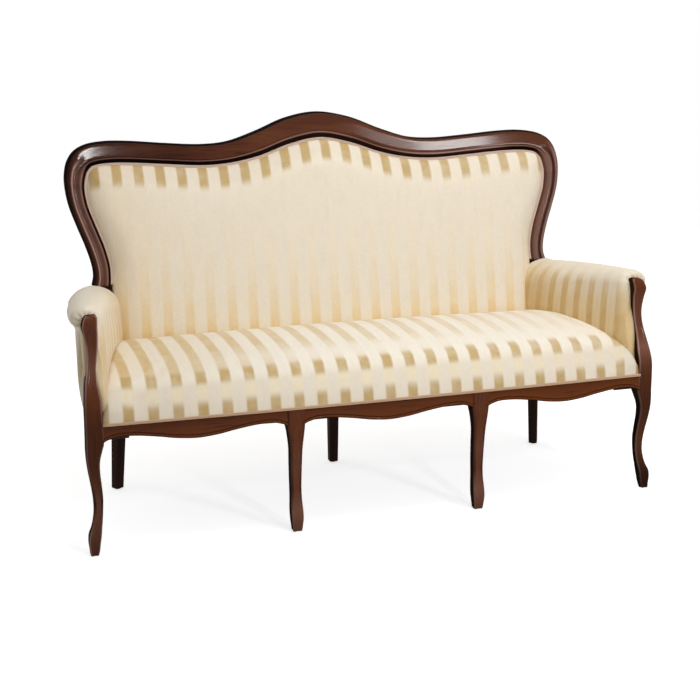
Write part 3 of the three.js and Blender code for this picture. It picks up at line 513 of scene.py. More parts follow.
def makeSatin(name):
    axis, middle, pitch, thread, slope = satin["covers"][name]
    finish = Finish(name, Sheen_Weight=0.12, Sheen_Roughness=0.35, Specular_IOR_Level=0.45)
    wander = finish.noise(satin["wanderScale"], detail=2) * satin["wander"] - satin["wander"] / 2
    place = finish.along(axis) + wander - finish.mark("lean") * satin["lean"] - finish.along("Z") * slope
    turn = ((place - middle) / pitch + (satin["turns"] + satin["half"])).fraction() - satin["half"]
    low, high = satin["goldShare"] - satin["edgeShare"], satin["goldShare"] + satin["edgeShare"]
    stripe = (1 - finish.ramp(turn.size(), low, high)).most(finish.mark("solid"))
    fine, slub = finish.grain(thread, *satin["thread"]), finish.grain(thread, *satin["slub"])
    cloth = finish.mix(finish.noise(satin["creamScale"], detail=3), satin["cream"], satin["creamCool"])
    cloth = finish.mix(finish.mark("sheen"), cloth, satin["sheen"])
    dull = finish.ramp(finish.noise(satin["unevenScale"], detail=2), *satin["unevenRange"])
    strength = stripe * (satin["most"] - dull * satin["loss"])
    # gold, painted sheen, gold in painted shade, and dark blocks of painted reflection
    for colour in ("gold", "sheenGold", "tan", "block"):
        cloth = finish.mix(strength * finish.mark(colour), cloth, satin[colour])
    for noise, kind in ((fine, "thread"), (slub, "slub")):
        shown = finish.ramp(noise, *satin[kind + "Range"]) * satin[kind + "Dark"]
        cloth = finish.mix(shown, cloth, satin["between"], "MULTIPLY")
    # warm painted shade, then painted shade
    for colour in ("warm", "shade"):
        cloth = finish.mix(finish.mark(colour), cloth, satin[colour], "MULTIPLY")
    gloss = satin["gloss"] - stripe * satin["stripeGloss"] + fine * satin["threadGloss"]
    weave = finish.bands(thread, satin["weaveScale"], satin["weaveDistortion"])
    height = fine * satin["threadRelief"] + weave * satin["weaveRelief"]
    relief = finish.bump(height, strength=0.14, distance=0.0005)
    return finish.feed(Base_Color=cloth, Roughness=gloss, Normal=relief)


seatSatin, backSatin, armSatin, outsideSatin = [makeSatin(name) for name in satin["covers"]]
print("main finishes ready")


# Back frame: outline from the middle of the crest to the foot of the stile, across as shares of the half
# width and up as shares of the rise from the arm join to the top of the crest
backFrame = {
    "outerShares": [
        (0, 1), (0.128, 0.966), (0.256, 0.885), (0.371, 0.827), (0.474, 0.815), (0.615, 0.83),
        (0.755, 0.851), (0.845, 0.855), (0.915, 0.839), (0.959, 0.802), (0.986, 0.743), (0.999, 0.664),
        (1, 0.589), (0.991, 0.483), (0.967, 0.355), (0.94, 0.228), (0.922, 0.117), (0.919, 0.047),
        (0.926, 0)],
    "innerShares": [
        (0, 0.84), (0.1255, 0.803), (0.251, 0.734), (0.365, 0.698), (0.474, 0.689), (0.618, 0.706),
        (0.758, 0.7245), (0.826, 0.7275), (0.871, 0.723), (0.899, 0.711), (0.917, 0.681), (0.928, 0.632),
        (0.932, 0.577), (0.9245, 0.479), (0.9, 0.355), (0.8745, 0.232), (0.859, 0.117), (0.858, 0.047),
        (0.86, 0)],
    # points of the mouldings: across from the outer edge, forward as a share of the frame's thickness,
    # and how much dark glaze and painted shade lie there: in the hollows and on the outer rounding
    "crestSection": [
        (0, -1, 0.9), (0, -0.4, 1), (0.012, -0.22, 1), (0.035, -0.1, 0.9), (0.065, -0.035, 0.6),
        (0.1, 0.01, 0.2), (0.14, 0.015, 0), (0.26, 0.015, 0), (0.38, 0.015, 0), (0.49, 0.015, 0),
        (0.6, 0.015, 0), (0.695, 0.015, 0), (0.72, 0.01, 0.15), (0.74, -0.02, 0.5), (0.76, 0.02, 0.1),
        (0.79, 0.06, 0), (0.815, 0.045, 0.1), (0.84, -0.03, 0.6), (0.865, -0.12, 0.8),
        (0.89, -0.17, 0.85), (0.925, -0.19, 0.85), (0.97, -0.19, 0.85), (1, -0.22, 0.9), (1, -1, 1)],
    "stileSection": [
        (0, -1, 0.9), (0, -0.5, 1), (0.015, -0.32, 1), (0.05, -0.18, 0.9), (0.1, -0.09, 0.8),
        (0.16, -0.04, 0.65), (0.22, 0, 0.45), (0.29, 0.03, 0.3), (0.34, 0.06, 0), (0.375, 0.055, 0),
        (0.41, -0.01, 0.1), (0.46, -0.05, 0), (0.55, -0.045, 0), (0.65, -0.03, 0.15), (0.74, -0.01, 0.1),
        (0.8, 0.02, 0), (0.835, 0.045, 0), (0.87, 0.01, 0.1), (0.9, -0.08, 0.3), (0.925, -0.14, 0.6),
        (0.95, -0.17, 0.8), (0.985, -0.17, 0.8), (1, -0.2, 0.8), (1, -1, 1)],
    # the outline's points in the corner and at the joint, and between which ones crest turns to stile
    "steps": 8, "corner": 9, "split": 12, "turn": (8.6, 2.2), "neck": 0.006, "neckGlaze": 0.8,
    # how much painted highlight lies on the ridges and beads, by point of the section. The right stile's
    # outer face takes painted highlight too, and its hollows take less painted shade.
    "crestHighlight": {14: 0.12, 15: 0.28, 16: 0.2},
    "leftHighlight": {7: 0.05, 8: 0.6, 9: 1, 10: 0.25, 11: 0.1, 12: 0.12, 13: 0.08, 14: 0.1, 15: 0.3, 16: 0.6,
                17: 0.3},
    "rightHighlight": {3: 0.1, 4: 0.2, 5: 0.45, 6: 0.45, 7: 0.15, 10: 0.08, 11: 0.18, 12: 0.25, 13: 0.25, 14: 0.22,
                 15: 0.15, 16: 0.12, 17: 0.12, 18: 0.15, 19: 0.2, 20: 0.25, 21: 0.25, 22: 0.3},
    "leftGlaze": {},
    "rightGlaze": {2: 0.6, 3: 0.4, 4: 0.2, 5: 0, 6: 0, 7: 0.3, 8: 0.65, 9: 0.75, 10: 0.5, 11: 0.1, 13: 0,
                   14: 0, 17: 0, 18: 0, 19: 0, 20: 0.1, 21: 0.2, 22: 0.3},
    # painted shade: the crest is darker at its ends, above all the left one: place along it and how much is
    # added
    "dark": [(-0.8, 0.3), (-0.6, 0.34), (-0.46, 0.42), (-0.3, 0.14), (-0.1, 0.04), (0, 0), (0.6, 0),
             (0.64, 0.15), (0.9, 0.15)],
    # and a painted reflection lightens its mouldings towards the right: points of the section, and place
    # along it
    "glintPoints": {12: 0.22, 13: 0.25, 14: 0.3, 15: 0.3, 16: 0.3, 17: 0.25, 18: 0.15, 19: 0.08},
    "light": [(-0.9, 0), (0.2, 0), (0.35, 1), (0.56, 1), (0.62, 0), (0.9, 0)],
}


def frameEdge(shares):
    half = [Vector((a * sofa["backHalf"], 0, lerp(sofa["armJoin"], sofa["crestTop"], b))) for a, b in shares]
    mirrored = [Vector((-p.x, 0, p.z)) for p in half[:0:-1]]
    return smoothPath(mirrored + half, backFrame["steps"])


outerEdge, innerEdge = frameEdge(backFrame["outerShares"]), frameEdge(backFrame["innerShares"])
lastPoint = len(backFrame["outerShares"]) - 1


# Both edges at an outline point, counted from the middle, and the way inward
def edgesAt(k):
    i = round((k + lastPoint) * backFrame["steps"])
    outer, inner = outerEdge[i], innerEdge[i]
    return outer, inner, (inner - outer).normalized()


def insetEdge(k, inset):
    inner, inward = edgesAt(k)[1:]
    return inner + inward * inset


# The points of a ring with their glaze and painted shade, and their painted highlight
def frameRing(k, drop=0.0):
    outer, inner, inward = edgesAt(k)
    width = (inner - outer).length
    turned = rising(abs(k), backFrame["turn"])
    side = "left" if k < 0 else "right"
    # painted shade towards the crest's ends, and a painted reflection on its mouldings towards the right
    endShade, light = [tableAt(backFrame[kind], outer.x)[1] * (1 - turned) for kind in ("dark", "light")]
    ring = []
    for i, (crest, stile) in enumerate(zip(backFrame["crestSection"], backFrame["stileSection"])):
        across, forward = Vector(crest).lerp(Vector(stile), turned)[:2]
        p = outer + inward * across * width
        place = Vector((p.x, backFaceY(p.x, p.z) - forward * sofa["frameDepth"], p.z - drop))
        glint = light * backFrame["glintPoints"].get(i, 0)
        glazeAndShade = lerp(crest[2], backFrame[side + "Glaze"].get(i, stile[2]), turned) + endShade - glint
        highlight = lerp(backFrame["crestHighlight"].get(i, 0), backFrame[side + "Highlight"].get(i, 0), turned) + glint
        ring.append((place, clamp(glazeAndShade), highlight))
    return ring


# A piece of the frame, with its rings' points in the first place and their glaze, painted shade and painted
# highlight behind
def moulded(name, rings, finish, node):
    piece = pulled(name, [[point[0] for point in ring] for ring in rings])
    for mark, which in (("glazeAndShade", 1), ("highlight", 2)):
        listed(piece, mark, [point[which] for ring in rings for point in ring])
    dressed(crisp(piece, "moulding"), finish, "show_wood", node)


def makeCrest():
    steps, split = backFrame["steps"], backFrame["split"]
    rings = [frameRing(i / steps) for i in range(-split * steps, split * steps + 1)]
    moulded("crestRail", rings, showWoodX, "crest_rail")


def makeStile(name, side):
    steps, split = backFrame["steps"], backFrame["split"]
    rings = [frameRing(side * i / steps, sofa["clearance"] if i == split * steps else 0)
             for i in range(split * steps, lastPoint * steps + 1)]
    foot = [point[0] for point in rings[-1]]
    join = sofa["armJoin"]
    face = backFaceY(foot[0].x, join)

    # below the arm the stile runs on inside the padding, without mouldings
    def hidden(height):
        ring = []
        for p in foot:
            y = min(face + sofa["frameDepth"], max(p.y, face)) + backFaceY(p.x, height) - backFaceY(p.x, join)
            ring.append((Vector((p.x, y, height)), backFrame["neckGlaze"], 0))
        return ring

    rings += [hidden(join - backFrame["neck"]), hidden(sofa["railTop"] + sofa["clearance"])]
    moulded(name + "BackStile", rings, showWoodZ, name + "_back_stile")


makeCrest()
for name, side in sides:
    makeStile(name, side)
print("back frame ready")


# Legs: squares with eased corners and slightly hollow faces, set one above the other
legs = {
    "ease": 0.0045, "easeLimit": 0.9, "hollow": 0.0018, "arc": 6, "flat": 5, "steps": 6,
    # height share, then side, outward and backward shifts as shares of the knee's side
    "cornerShares": [
        (0, 0.5, 0.134, -0.129), (0.05, 0.639, 0.164, -0.107), (0.1, 0.736, 0.2, -0.115),
        (0.155, 0.775, 0.159, -0.09), (0.21, 0.661, -0.027, 0.079), (0.26, 0.603, -0.152, 0.196),
        (0.34, 0.568, -0.257, 0.299), (0.44, 0.616, -0.244, 0.288), (0.55, 0.674, -0.126, 0.194),
        (0.64, 0.728, -0.011, 0.094), (0.73, 0.819, 0.064, 0.02), (0.82, 1.019, 0.07, 0.01),
        (0.86, 1.1, 0.05, 0.009), (1, 1.086, 0.03, 0.013)],
    "postShares": [
        (0.128, 1.03, 0.018, 0.08), (0.226, 0.98, -0.038, 0.32), (0.348, 0.78, -0.156, 0.74),
        (0.423, 0.68, -0.262, 0.957), (0.5, 0.64, -0.345, 1.12), (0.565, 0.65, -0.388, 1.19),
        (0.635, 0.715, -0.383, 1.2), (0.735, 0.863, -0.269, 1.18), (0.815, 0.956, -0.174, 1.1),
        (0.865, 0.9, -0.256, 1.2), (0.892, 0.8, -0.358, 1.33), (0.905, 0.544, -0.5, 1.5)],
    "innerShares": [
        (0, 0.58, 0.02), (0.06, 0.69, -0.04), (0.12, 0.768, -0.06), (0.17, 0.77, 0.01), (0.27, 0.691, 0.2),
        (0.36, 0.68, 0.27), (0.43, 0.7, 0.26), (0.55, 0.737, 0.2), (0.68, 0.787, 0.1), (0.8, 0.97, 0.02),
        (0.86, 1.09, 0.04), (1, 1.09, 0.0)],
    # heights are drawn out by this much for the curve through the points
    "cornerDraw": 10, "innerDraw": 3.5, "innerShift": 0.003, "amber": 0.38, "turnedAwayHighlight": 0.3,
    # height, then glaze with painted shade on the front face, painted shade on the sides, and painted
    # highlight on the arrises and on the front face. Below nought the arrises take painted shade instead.
    "leftTone": [(0, 0.4, 0.95, 0.6, 0), (0.05, 0.3, 0.95, 0.6, 0.08), (0.1, 0.2, 0.95, 0, 0.08),
                 (0.14, 0.1, 0.95, -0.7, 0.08), (0.18, 0.25, 0.95, -0.2, 0.04), (0.24, 0.4, 0.95, 0.5, 0),
                 (0.34, 0.42, 0.85, 0.35, 0), (0.4, 0.15, 0.8, 0.3, 0), (0.44, 0.05, 0.8, 0.5, 0.02),
                 (0.49, 0, 0.8, 0.9, 0.14), (0.56, 0.05, 0.8, 0.6, 0.02), (0.65, 0, 0.8, 0.4, 0.03)],
    "rightTone": [(0, 0.8, 1, 0.3, 0), (0.05, 0.75, 1, 0.6, 0), (0.08, 0.6, 1, 0.6, 0.03),
                  (0.14, 0.35, 1, 0.3, 0.03), (0.2, 0.4, 1, 0.3, 0), (0.26, 0.5, 0.95, 0.35, 0),
                  (0.35, 0.25, 0.85, 0.3, 0), (0.39, 0.1, 0.85, 0.4, 0.06), (0.43, 0, 0.8, 0.7, 0.2),
                  (0.47, 0, 0.8, 0.5, 0.06), (0.52, 0, 0.8, 0.6, 0.06), (0.6, 0, 0.8, 0.3, 0),
                  (0.65, 0, 0.8, 0.3, 0)],
    "innerTone": [(0, 0.05, 0.95, 0.1, 0.06), (0.065, 0, 0.95, 0.1, 0.16), (0.12, 0, 0.95, -0.6, 0.02),
                  (0.18, 0, 0.95, -0.35, 0.05), (0.25, 0, 0.95, -0.3, 0), (0.4, 0, 0.92, 0.2, 0)],
    "innerProud": 0.0025,
}


def squareRing(x, y, z, side, corner, hollow):
    half = side / 2
    corner = min(corner, legs["easeLimit"] * half)
    local = []
    for i in range(legs["arc"]):
        a = (i / (legs["arc"] - 1)) * math.pi / 2
        local.append((half - corner + corner * math.cos(a), half - corner + corner * math.sin(a)))
    for i in range(1, legs["flat"]):
        t = i / legs["flat"]
        local.append((lerp(half - corner, corner - half, t), half - hollow * math.sin(math.pi * t)))
    ring = []
    for quarter in range(4):
        turn = quarter * math.pi / 2
        c, s = math.cos(turn), math.sin(turn)
        ring += [Vector((x + u * c - v * s, y + u * s + v * c, z)) for u, v in local]
    return ring


# Painted highlight on the arrises and painted shade on the sides, in the order in which a square's points
# are drawn: the third quarter holds the front face, and the last two hold the arrises beside it
def stainAndShade(leg, rings, tone):
    highlight, glazeAndShade = [], []
    between = legs["flat"] - 1
    arris = [math.sin(math.pi * i / (legs["arc"] - 1)) for i in range(legs["arc"])]
    for ring in rings:
        faceGlazeShade, sideShade, arrisHighlight, faceHighlight = tableAt(tone, ring[0].z)[1:]
        for front, facing in ((False, False), (False, False), (True, True), (False, True)):
            # arrises that face away take less painted highlight
            seen = 1 if facing else legs["turnedAwayHighlight"]
            highlight += [seen * max(arrisHighlight, 0) * share + faceHighlight * facing for share in arris]
            highlight += [faceHighlight * front] * between
            glazeAndShade += [faceGlazeShade + max(-arrisHighlight, 0)] * legs["arc"]
            glazeAndShade += [faceGlazeShade if front else sideShade] * between
    return marked(listed(listed(leg, "highlight", highlight), "glazeAndShade", glazeAndShade), "amber", lambda p: legs["amber"])


# Height, side, outward and backward shifts of a corner leg and its post
def postTable():
    rise = sofa["postTop"] - sofa["railTop"]
    lower = [(h * sofa["railTop"], *rest) for h, *rest in legs["cornerShares"]]
    upper = [(sofa["railTop"] + h * rise, *rest) for h, *rest in legs["postShares"]]
    return lower + upper


def frontLeg(name, rows, tone, node):
    base = sofa["glideHeight"] + sofa["clearance"]
    rings = [squareRing(x, y, max(z, base), size, legs["ease"], legs["hollow"]) for x, y, z, size in rows]
    dressed(crisp(stainAndShade(pulled(name, rings), rings, legs[tone])), showWoodZ, "show_wood", node)


def makeFrontLeg(name, side):
    rows, knee = [], sofa["kneeSide"]
    table = [(h * legs["cornerDraw"], *rest) for h, *rest in postTable()]
    for h, share, outward, backward in smoothPath(table, legs["steps"]):
        size = share * knee
        rows.append((side * (sofa["kneeOuter"] + outward * knee - size / 2),
                     frontLine + sofa["kneeFront"] + backward * knee + size / 2,
                     h / legs["cornerDraw"], size))
    frontLeg(f"front{name.title()}Leg", rows, name + "Tone", f"front_{name}_leg")


def makeInnerLeg(name, side):
    rows, knee = [], sofa["innerKneeSide"]
    front = frontFaceY(sofa["innerLegX"]) - legs["innerProud"]
    table = [(h * legs["innerDraw"], *rest) for h, *rest in legs["innerShares"]]
    for h, share, backward in smoothPath(table, legs["steps"]):
        size = share * knee
        rows.append((side * sofa["innerLegX"] + legs["innerShift"], front + backward * knee + size / 2,
                     h / legs["innerDraw"] * sofa["railTop"], size))
    frontLeg(f"frontInner{name.title()}Leg", rows, "innerTone", f"front_inner_{name}_leg")


for name, side in sides:
    makeFrontLeg(name, side)
    makeInnerLeg(name, side)
print("front legs ready")


# Front rails: a serpentine lower edge with a bead along it
frontRail = {
    "thick": 0.024, "depth": 0.053, "ease": 0.0015, "beadProud": 0.0035, "beadHeight": 0.008, "steps": 7,
    "edgeShares": [
        (0, 0.83), (0.03, 0.7), (0.085, 0.59), (0.16, 0.6), (0.28, 0.74), (0.4, 0.93), (0.5, 1), (0.6, 0.93),
        (0.72, 0.74), (0.84, 0.6), (0.915, 0.59), (0.97, 0.7), (1, 0.83)],
    # section of the face over the bead: forward and up, as shares of the bead's size, with its glaze and
    # painted shade, darkest under the bead
    "beadShares": [
        (0, 1.5, 0), (0, 1.25, 0.1), (-0.3, 1.1, 0.5), (-0.1, 1.0, 0.5), (0.45, 0.97, 0), (0.85, 0.8, 0),
        (1, 0.55, 0.1), (0.9, 0.3, 0.7), (0.55, 0.08, 1), (0, 0, 1)],
    # glaze and painted shade of the section's first three points, and amber that grows from left to right as
    # painted light from the right
    "topGlaze": (1, 0.6, 0.3), "amber": (0.5, 0.85), "amberLitRange": (-0.7, 1.4),
}


def makeFrontRail(name, start, end):
    rings, glazeAndShade = [], []
    for across, depth in smoothPath(frontRail["edgeShares"], frontRail["steps"]):
        x = lerp(start, end, across)
        face = frontFaceY(x)
        top, corner = sofa["railTop"], frontRail["ease"]
        low = top - depth * frontRail["depth"]
        ring = [Vector((x, face + frontRail["thick"], top)), Vector((x, face + corner, top)),
                Vector((x, face, top - corner))]
        railGlazeShade = [*frontRail["topGlaze"]]
        for forward, up, dark in frontRail["beadShares"]:
            proud = forward * frontRail["beadProud"]
            ring.append(Vector((x, face - proud, low + up * frontRail["beadHeight"])))
            railGlazeShade.append(dark)
        ring.append(Vector((x, face + frontRail["thick"], low)))
        railGlazeShade.append(1)
        rings.append(ring)
        glazeAndShade += railGlazeShade
    rail = pulled(f"front{name.title()}Rail", rings)
    listed(rail, "glazeAndShade", glazeAndShade)
    # painted light: the amber grows towards the right, where more light falls
    marked(rail, "amber", lambda p: lerp(*frontRail["amber"], rising(p.x, frontRail["amberLitRange"])))
    dressed(crisp(rail, "moulding"), showWoodX, "show_wood", f"front_{name}_rail")


def makeFrontRails():
    gap = sofa["clearance"]
    knee = sofa["kneeOuter"] - sofa["kneeSide"] - gap
    outside = sofa["innerLegX"] + sofa["innerKneeSide"] / 2 + gap
    inside = sofa["innerLegX"] - sofa["innerKneeSide"] / 2 - gap
    makeFrontRail("left", -knee, -outside)
    makeFrontRail("centre", -inside, inside)
    makeFrontRail("right", outside, knee)


makeFrontRails()
print("front rails ready")


# Gimp round the back pad and braid along the seat: two cords with a woven band between
trim = {
    "braid": (0.62, 0.41, 0.25, 1), "braidShade": (0.32, 0.18, 0.11, 1),
    "gimp": (0.68, 0.51, 0.41, 1), "gimpShade": (0.38, 0.25, 0.18, 1),
    "twistScale": 300, "cordScale": 260 / 3, "cordDistortion": 1.5,
    "cordTone": 0.35, "twistTone": 0.3, "cordRelief": 0.6, "twistRelief": 0.4,
    "steps": 6, "gimpWidth": 0.008, "gimpProud": 0.005, "gimpGap": 0.0003,
    "braidHeight": 0.0078, "braidHalfSteps": 48,
    # across the gimp and out of the wood, as shares of its width and of how proud it stands
    "section": [(0, -0.6), (0.02, 0.3), (0.1, 0.72), (0.24, 0.85), (0.38, 0.66), (0.5, 0.45), (0.62, 0.66),
                (0.76, 0.85), (0.9, 0.72), (0.98, 0.3), (1, -0.6)],
    "highest": 0.85,
}


def makeTrimFinish(kind):
    finish = Finish("woven" + kind.title(), Roughness=0.75, Sheen_Weight=0.15, Specular_IOR_Level=0.3)
    twist = finish.noise(trim["twistScale"], detail=1)
    cord = finish.bands("DIAGONAL", trim["cordScale"], trim["cordDistortion"])
    tone = finish.mix(cord * trim["cordTone"] + twist * trim["twistTone"], trim[kind], trim[kind + "Shade"])
    height = cord * trim["cordRelief"] + twist * trim["twistRelief"]
    relief = finish.bump(height, strength=0.5, distance=0.0006)
    return finish.feed(Base_Color=tone, Normal=relief)


def makeGimp():
    rings = []
    end = lastPoint * trim["steps"]
    for i in range(-end, end + 1):
        k = round(i / trim["steps"] * backFrame["steps"]) / backFrame["steps"]
        inner, inward = edgesAt(k)[1:]
        ring = []
        for across, proud in trim["section"]:
            p = inner + inward * (trim["gimpGap"] + across * trim["gimpWidth"])
            ring.append(Vector((p.x, backFaceY(p.x, p.z) - proud * trim["gimpProud"], p.z)))
        rings.append(ring)
    dressed(pulled("backGimp", rings), makeTrimFinish("gimp"), "braid", "back_gimp")


def makeBraid():
    half = sofa["kneeOuter"] - sofa["kneeSide"] - 2 * sofa["clearance"]
    low, height, steps = sofa["railTop"] + sofa["clearance"], trim["braidHeight"], trim["braidHalfSteps"]
    rings = []
    for i in range(-steps, steps + 1):
        x = half * i / steps
        back = frontFaceY(x) - sofa["coverOut"] - sofa["clearance"]
        ring = [Vector((x, back, low))]
        for across, proud in trim["section"][1:-1]:
            y = back - sofa["braidThick"] * proud / trim["highest"]
            ring.append(Vector((x, y, low + across * height)))
        ring.append(Vector((x, back, low + height)))
        rings.append(ring)
    dressed(pulled("seatBraid", rings), makeTrimFinish("braid"), "braid", "seat_braid")


makeGimp()
makeBraid()
print("trims ready")


# A stuffed piece: blown up a little against its fixed rim, and held near the drawn form
stuffing = {"pressure": 4.0, "frames": 20, "tension": 18, "bending": 0.8, "quality": 5, "stillBelow": 1e-9}


def stuffed(piece, held, cap):
    drawn = [v.co.copy() for v in piece.data.vertices]
    rim = piece.vertex_groups.new(name="rim")
    rim.add([v.index for v in piece.data.vertices if held(v)], 1.0, "REPLACE")
    picked(piece)
    modifier = piece.modifiers.new("cloth", "CLOTH")
    cloth = modifier.settings
    cloth.quality = stuffing["quality"]
    cloth.tension_stiffness = cloth.compression_stiffness = stuffing["tension"]
    cloth.bending_stiffness = stuffing["bending"]
    cloth.use_pressure, cloth.uniform_pressure_force = True, stuffing["pressure"]
    cloth.effector_weights.gravity = 0
    cloth.vertex_group_mass = "rim"
    modifier.point_cache.frame_start, modifier.point_cache.frame_end = 1, stuffing["frames"]
    for number in range(1, stuffing["frames"] + 1):
        bpy.context.scene.frame_set(number)
    bpy.ops.object.modifier_apply(modifier=modifier.name)
    bpy.context.scene.frame_set(1)
    most = 0
    for vertex, start in zip(piece.data.vertices, drawn):
        move = vertex.co - start
        most = max(most, move.length)
        if move.length > stuffing["stillBelow"]:
            vertex.co = start + move.normalized() * cap * math.tanh(move.length / cap)
    piece.vertex_groups.clear()
    print(piece.name, "moved up to", round(most * 1000, 1), "mm before the cap")
    return piece


# A stuffed pad begins as a sheet. Its marks are worked out for each vertex of the sheet's front, from its
# place in the drawing: u from -1 to 1 across and v from 0 to 1 up.
def padShares(size):
    columns = size["columns"] + 1
    count = columns * (size["rows"] + 1)
    return columns, count, [(2 * (i % columns) / size["columns"] - 1, i // columns / size["rows"])
                            for i in range(count)]


# The marks of a pad come as one set of values for each of those vertices
def finished(piece, marks, finish, *nodes):
    for name in marks[0] if marks else []:
        listed(piece, name, [mark[name] for mark in marks])
    finer(piece)
    dressed(piece, finish, "striped_satin", *nodes)


# Seat: crowned, rolled over its front edge, with rounded sides against the arms
seat = {
    "base": 0.3528, "swell": 0.007, "columns": 110, "rows": 60, "sideRound": 0.006, "cap": 0.006,
    "underside": 0.0005, "tuck": 0.003, "frontTuck": 0.006, "tuckFade": (0.03, 0.09), "pathSteps": 12,
    # along the section: back from the front edge, and up
    "profile": [
        (0, 0), (0.004, 0.09), (0.018, 0.2), (0.046, 0.34), (0.08, 0.46), (0.13, 0.6), (0.192, 0.73),
        (0.294, 0.85), (0.42, 0.935), (0.55, 0.985), (0.69, 1), (0.83, 0.965), (0.94, 0.91), (1, 0.82)],
    "finerFront": 0.28, "roundRise": (0, 0.03), "sidePull": 0.010, "pullFade": (0.02, 0.1),
    # the corners by the posts are filled out: height, across, up and back
    "cornerFill": 0.020, "cornerFrom": (0.86, 0.14), "cornerRise": 0.012, "cornerBack": 0.055,
    "heldRim": 0.004, "heldBack": 0.003,
    # where the satin's painted reflection turns dark or pale, measured over the cloth from the seat's
    # lower front edge
    "lowBlock": (0.026, 0.028), "lowDark": 0.95,
    "highBlock": (0.094, 0.144), "longer": 0.010, "longerFrom": (-0.1, 0.5), "highDark": (0.95, 0.75),
    "blockSoft": 0.022,
    "sheenBand": (0.046, 0.096), "sheenBandGold": (0.85, 0.6), "sheenSoft": 0.024,
    # gold stripes in painted shade on the level, weaker to the right where more light falls, and where the
    # seat gleams with a painted highlight
    "goldInShadeFrom": (-0.01, 0.02), "goldInShadeLoss": 0.40, "goldInShadeGain": 0.12, "goldInShadeGainFrom": (0.3, 0.15),
    "gleam": 0.185, "gleamSpread": 0.045, "gleamFrom": (-0.95, 0.8), "gleamLoss": 0.88,
    "frontShade": 0.19, "shadeFrom": (0.08, 0.04), "leftShade": 0.04, "leftFrom": (0.3, 0.5),
    # painted sheen: paler over the front, and on the level more so towards the right and less to the rear
    "frontSheen": 0.25, "topSheen": 0.6, "sheenFrom": (-0.9, 0.7), "topFrom": (0.10, 0.06), "rearLoss": 0.35,
    "rearFrom": (0.3, 0.1),
    # how far the stripes are drawn over on the front roll, along the same distance
    "leanShares": [(0, 0), (0.05, 0.35), (0.10, 0.95), (0.13, 1.2), (0.19, 1.0), (0.27, 0.6), (0.35, 0.3),
                   (0.5, 0)],
    "leanMiddle": 0.015, "leanGrowth": 0.0085,
}


def arcPath(points, acrossSize, upSize, steps):
    path = smoothPath([(a * acrossSize, b * upSize) for a, b in points], steps)
    lengths = [0.0]
    for a, b in zip(path, path[1:]):
        lengths.append(lengths[-1] + (b - a).length)
    return path, lengths


def atLength(path, lengths, share):
    want = share * lengths[-1]
    for i in range(1, len(lengths)):
        if lengths[i] >= want:
            t = (want - lengths[i - 1]) / (lengths[i] - lengths[i - 1])
            return path[i - 1].lerp(path[i], clamp(t))
    return path[-1]


def band(value, low, high, soft):
    return ease((value - low) / soft + 0.5) * (1 - ease((value - high) / soft + 0.5))


# How far a rounded edge lies below the face, as a share of its radius
def edgeDrop(share):
    return 1 - math.sqrt(1 - (1 - clamp(share)) ** 2)


# The marks of the seat's cloth at a distance over it and at u across: painted dark reflections, painted
# sheen, gold in painted shade and painted shade
def seatMarks(run, u):
    low, high = seat["highBlock"]
    high += seat["longer"] * rising(u, seat["longerFrom"])
    front = falling(run, seat["lowBlock"]) * seat["lowDark"]
    roll = band(run, low, high, seat["blockSoft"]) * lerp(*seat["highDark"], ease(u))
    gleam = math.exp(-((run - seat["gleam"]) / seat["gleamSpread"]) ** 2) * rising(u, seat["gleamFrom"])
    gain = seat["goldInShadeGain"] * rising(run, seat["goldInShadeGainFrom"]) - seat["goldInShadeLoss"]
    tan = rising(run - high, seat["goldInShadeFrom"]) * clamp(1 + gain * (u + 1)) * (1 - seat["gleamLoss"] * gleam)
    shade = seat["frontShade"] * falling(run, seat["shadeFrom"])
    onTop = rising(run, seat["topFrom"]) * (1 - seat["rearLoss"] * rising(run, seat["rearFrom"]))
    leaning = tableAt(seat["leanShares"], run)[1] * (seat["leanMiddle"] + seat["leanGrowth"] * u)
    return {
        "block": max(front, roll),
        "tan": tan,
        "sheenGold": band(run, *seat["sheenBand"], seat["sheenSoft"]) * lerp(*seat["sheenBandGold"], ease(u)),
        "shade": shade + seat["leftShade"] * rising(-u, seat["leftFrom"]),
        "sheen": lerp(seat["frontSheen"], seat["topSheen"] * rising(u, seat["sheenFrom"]), onTop),
        "lean": leaning / satin["lean"],
    }


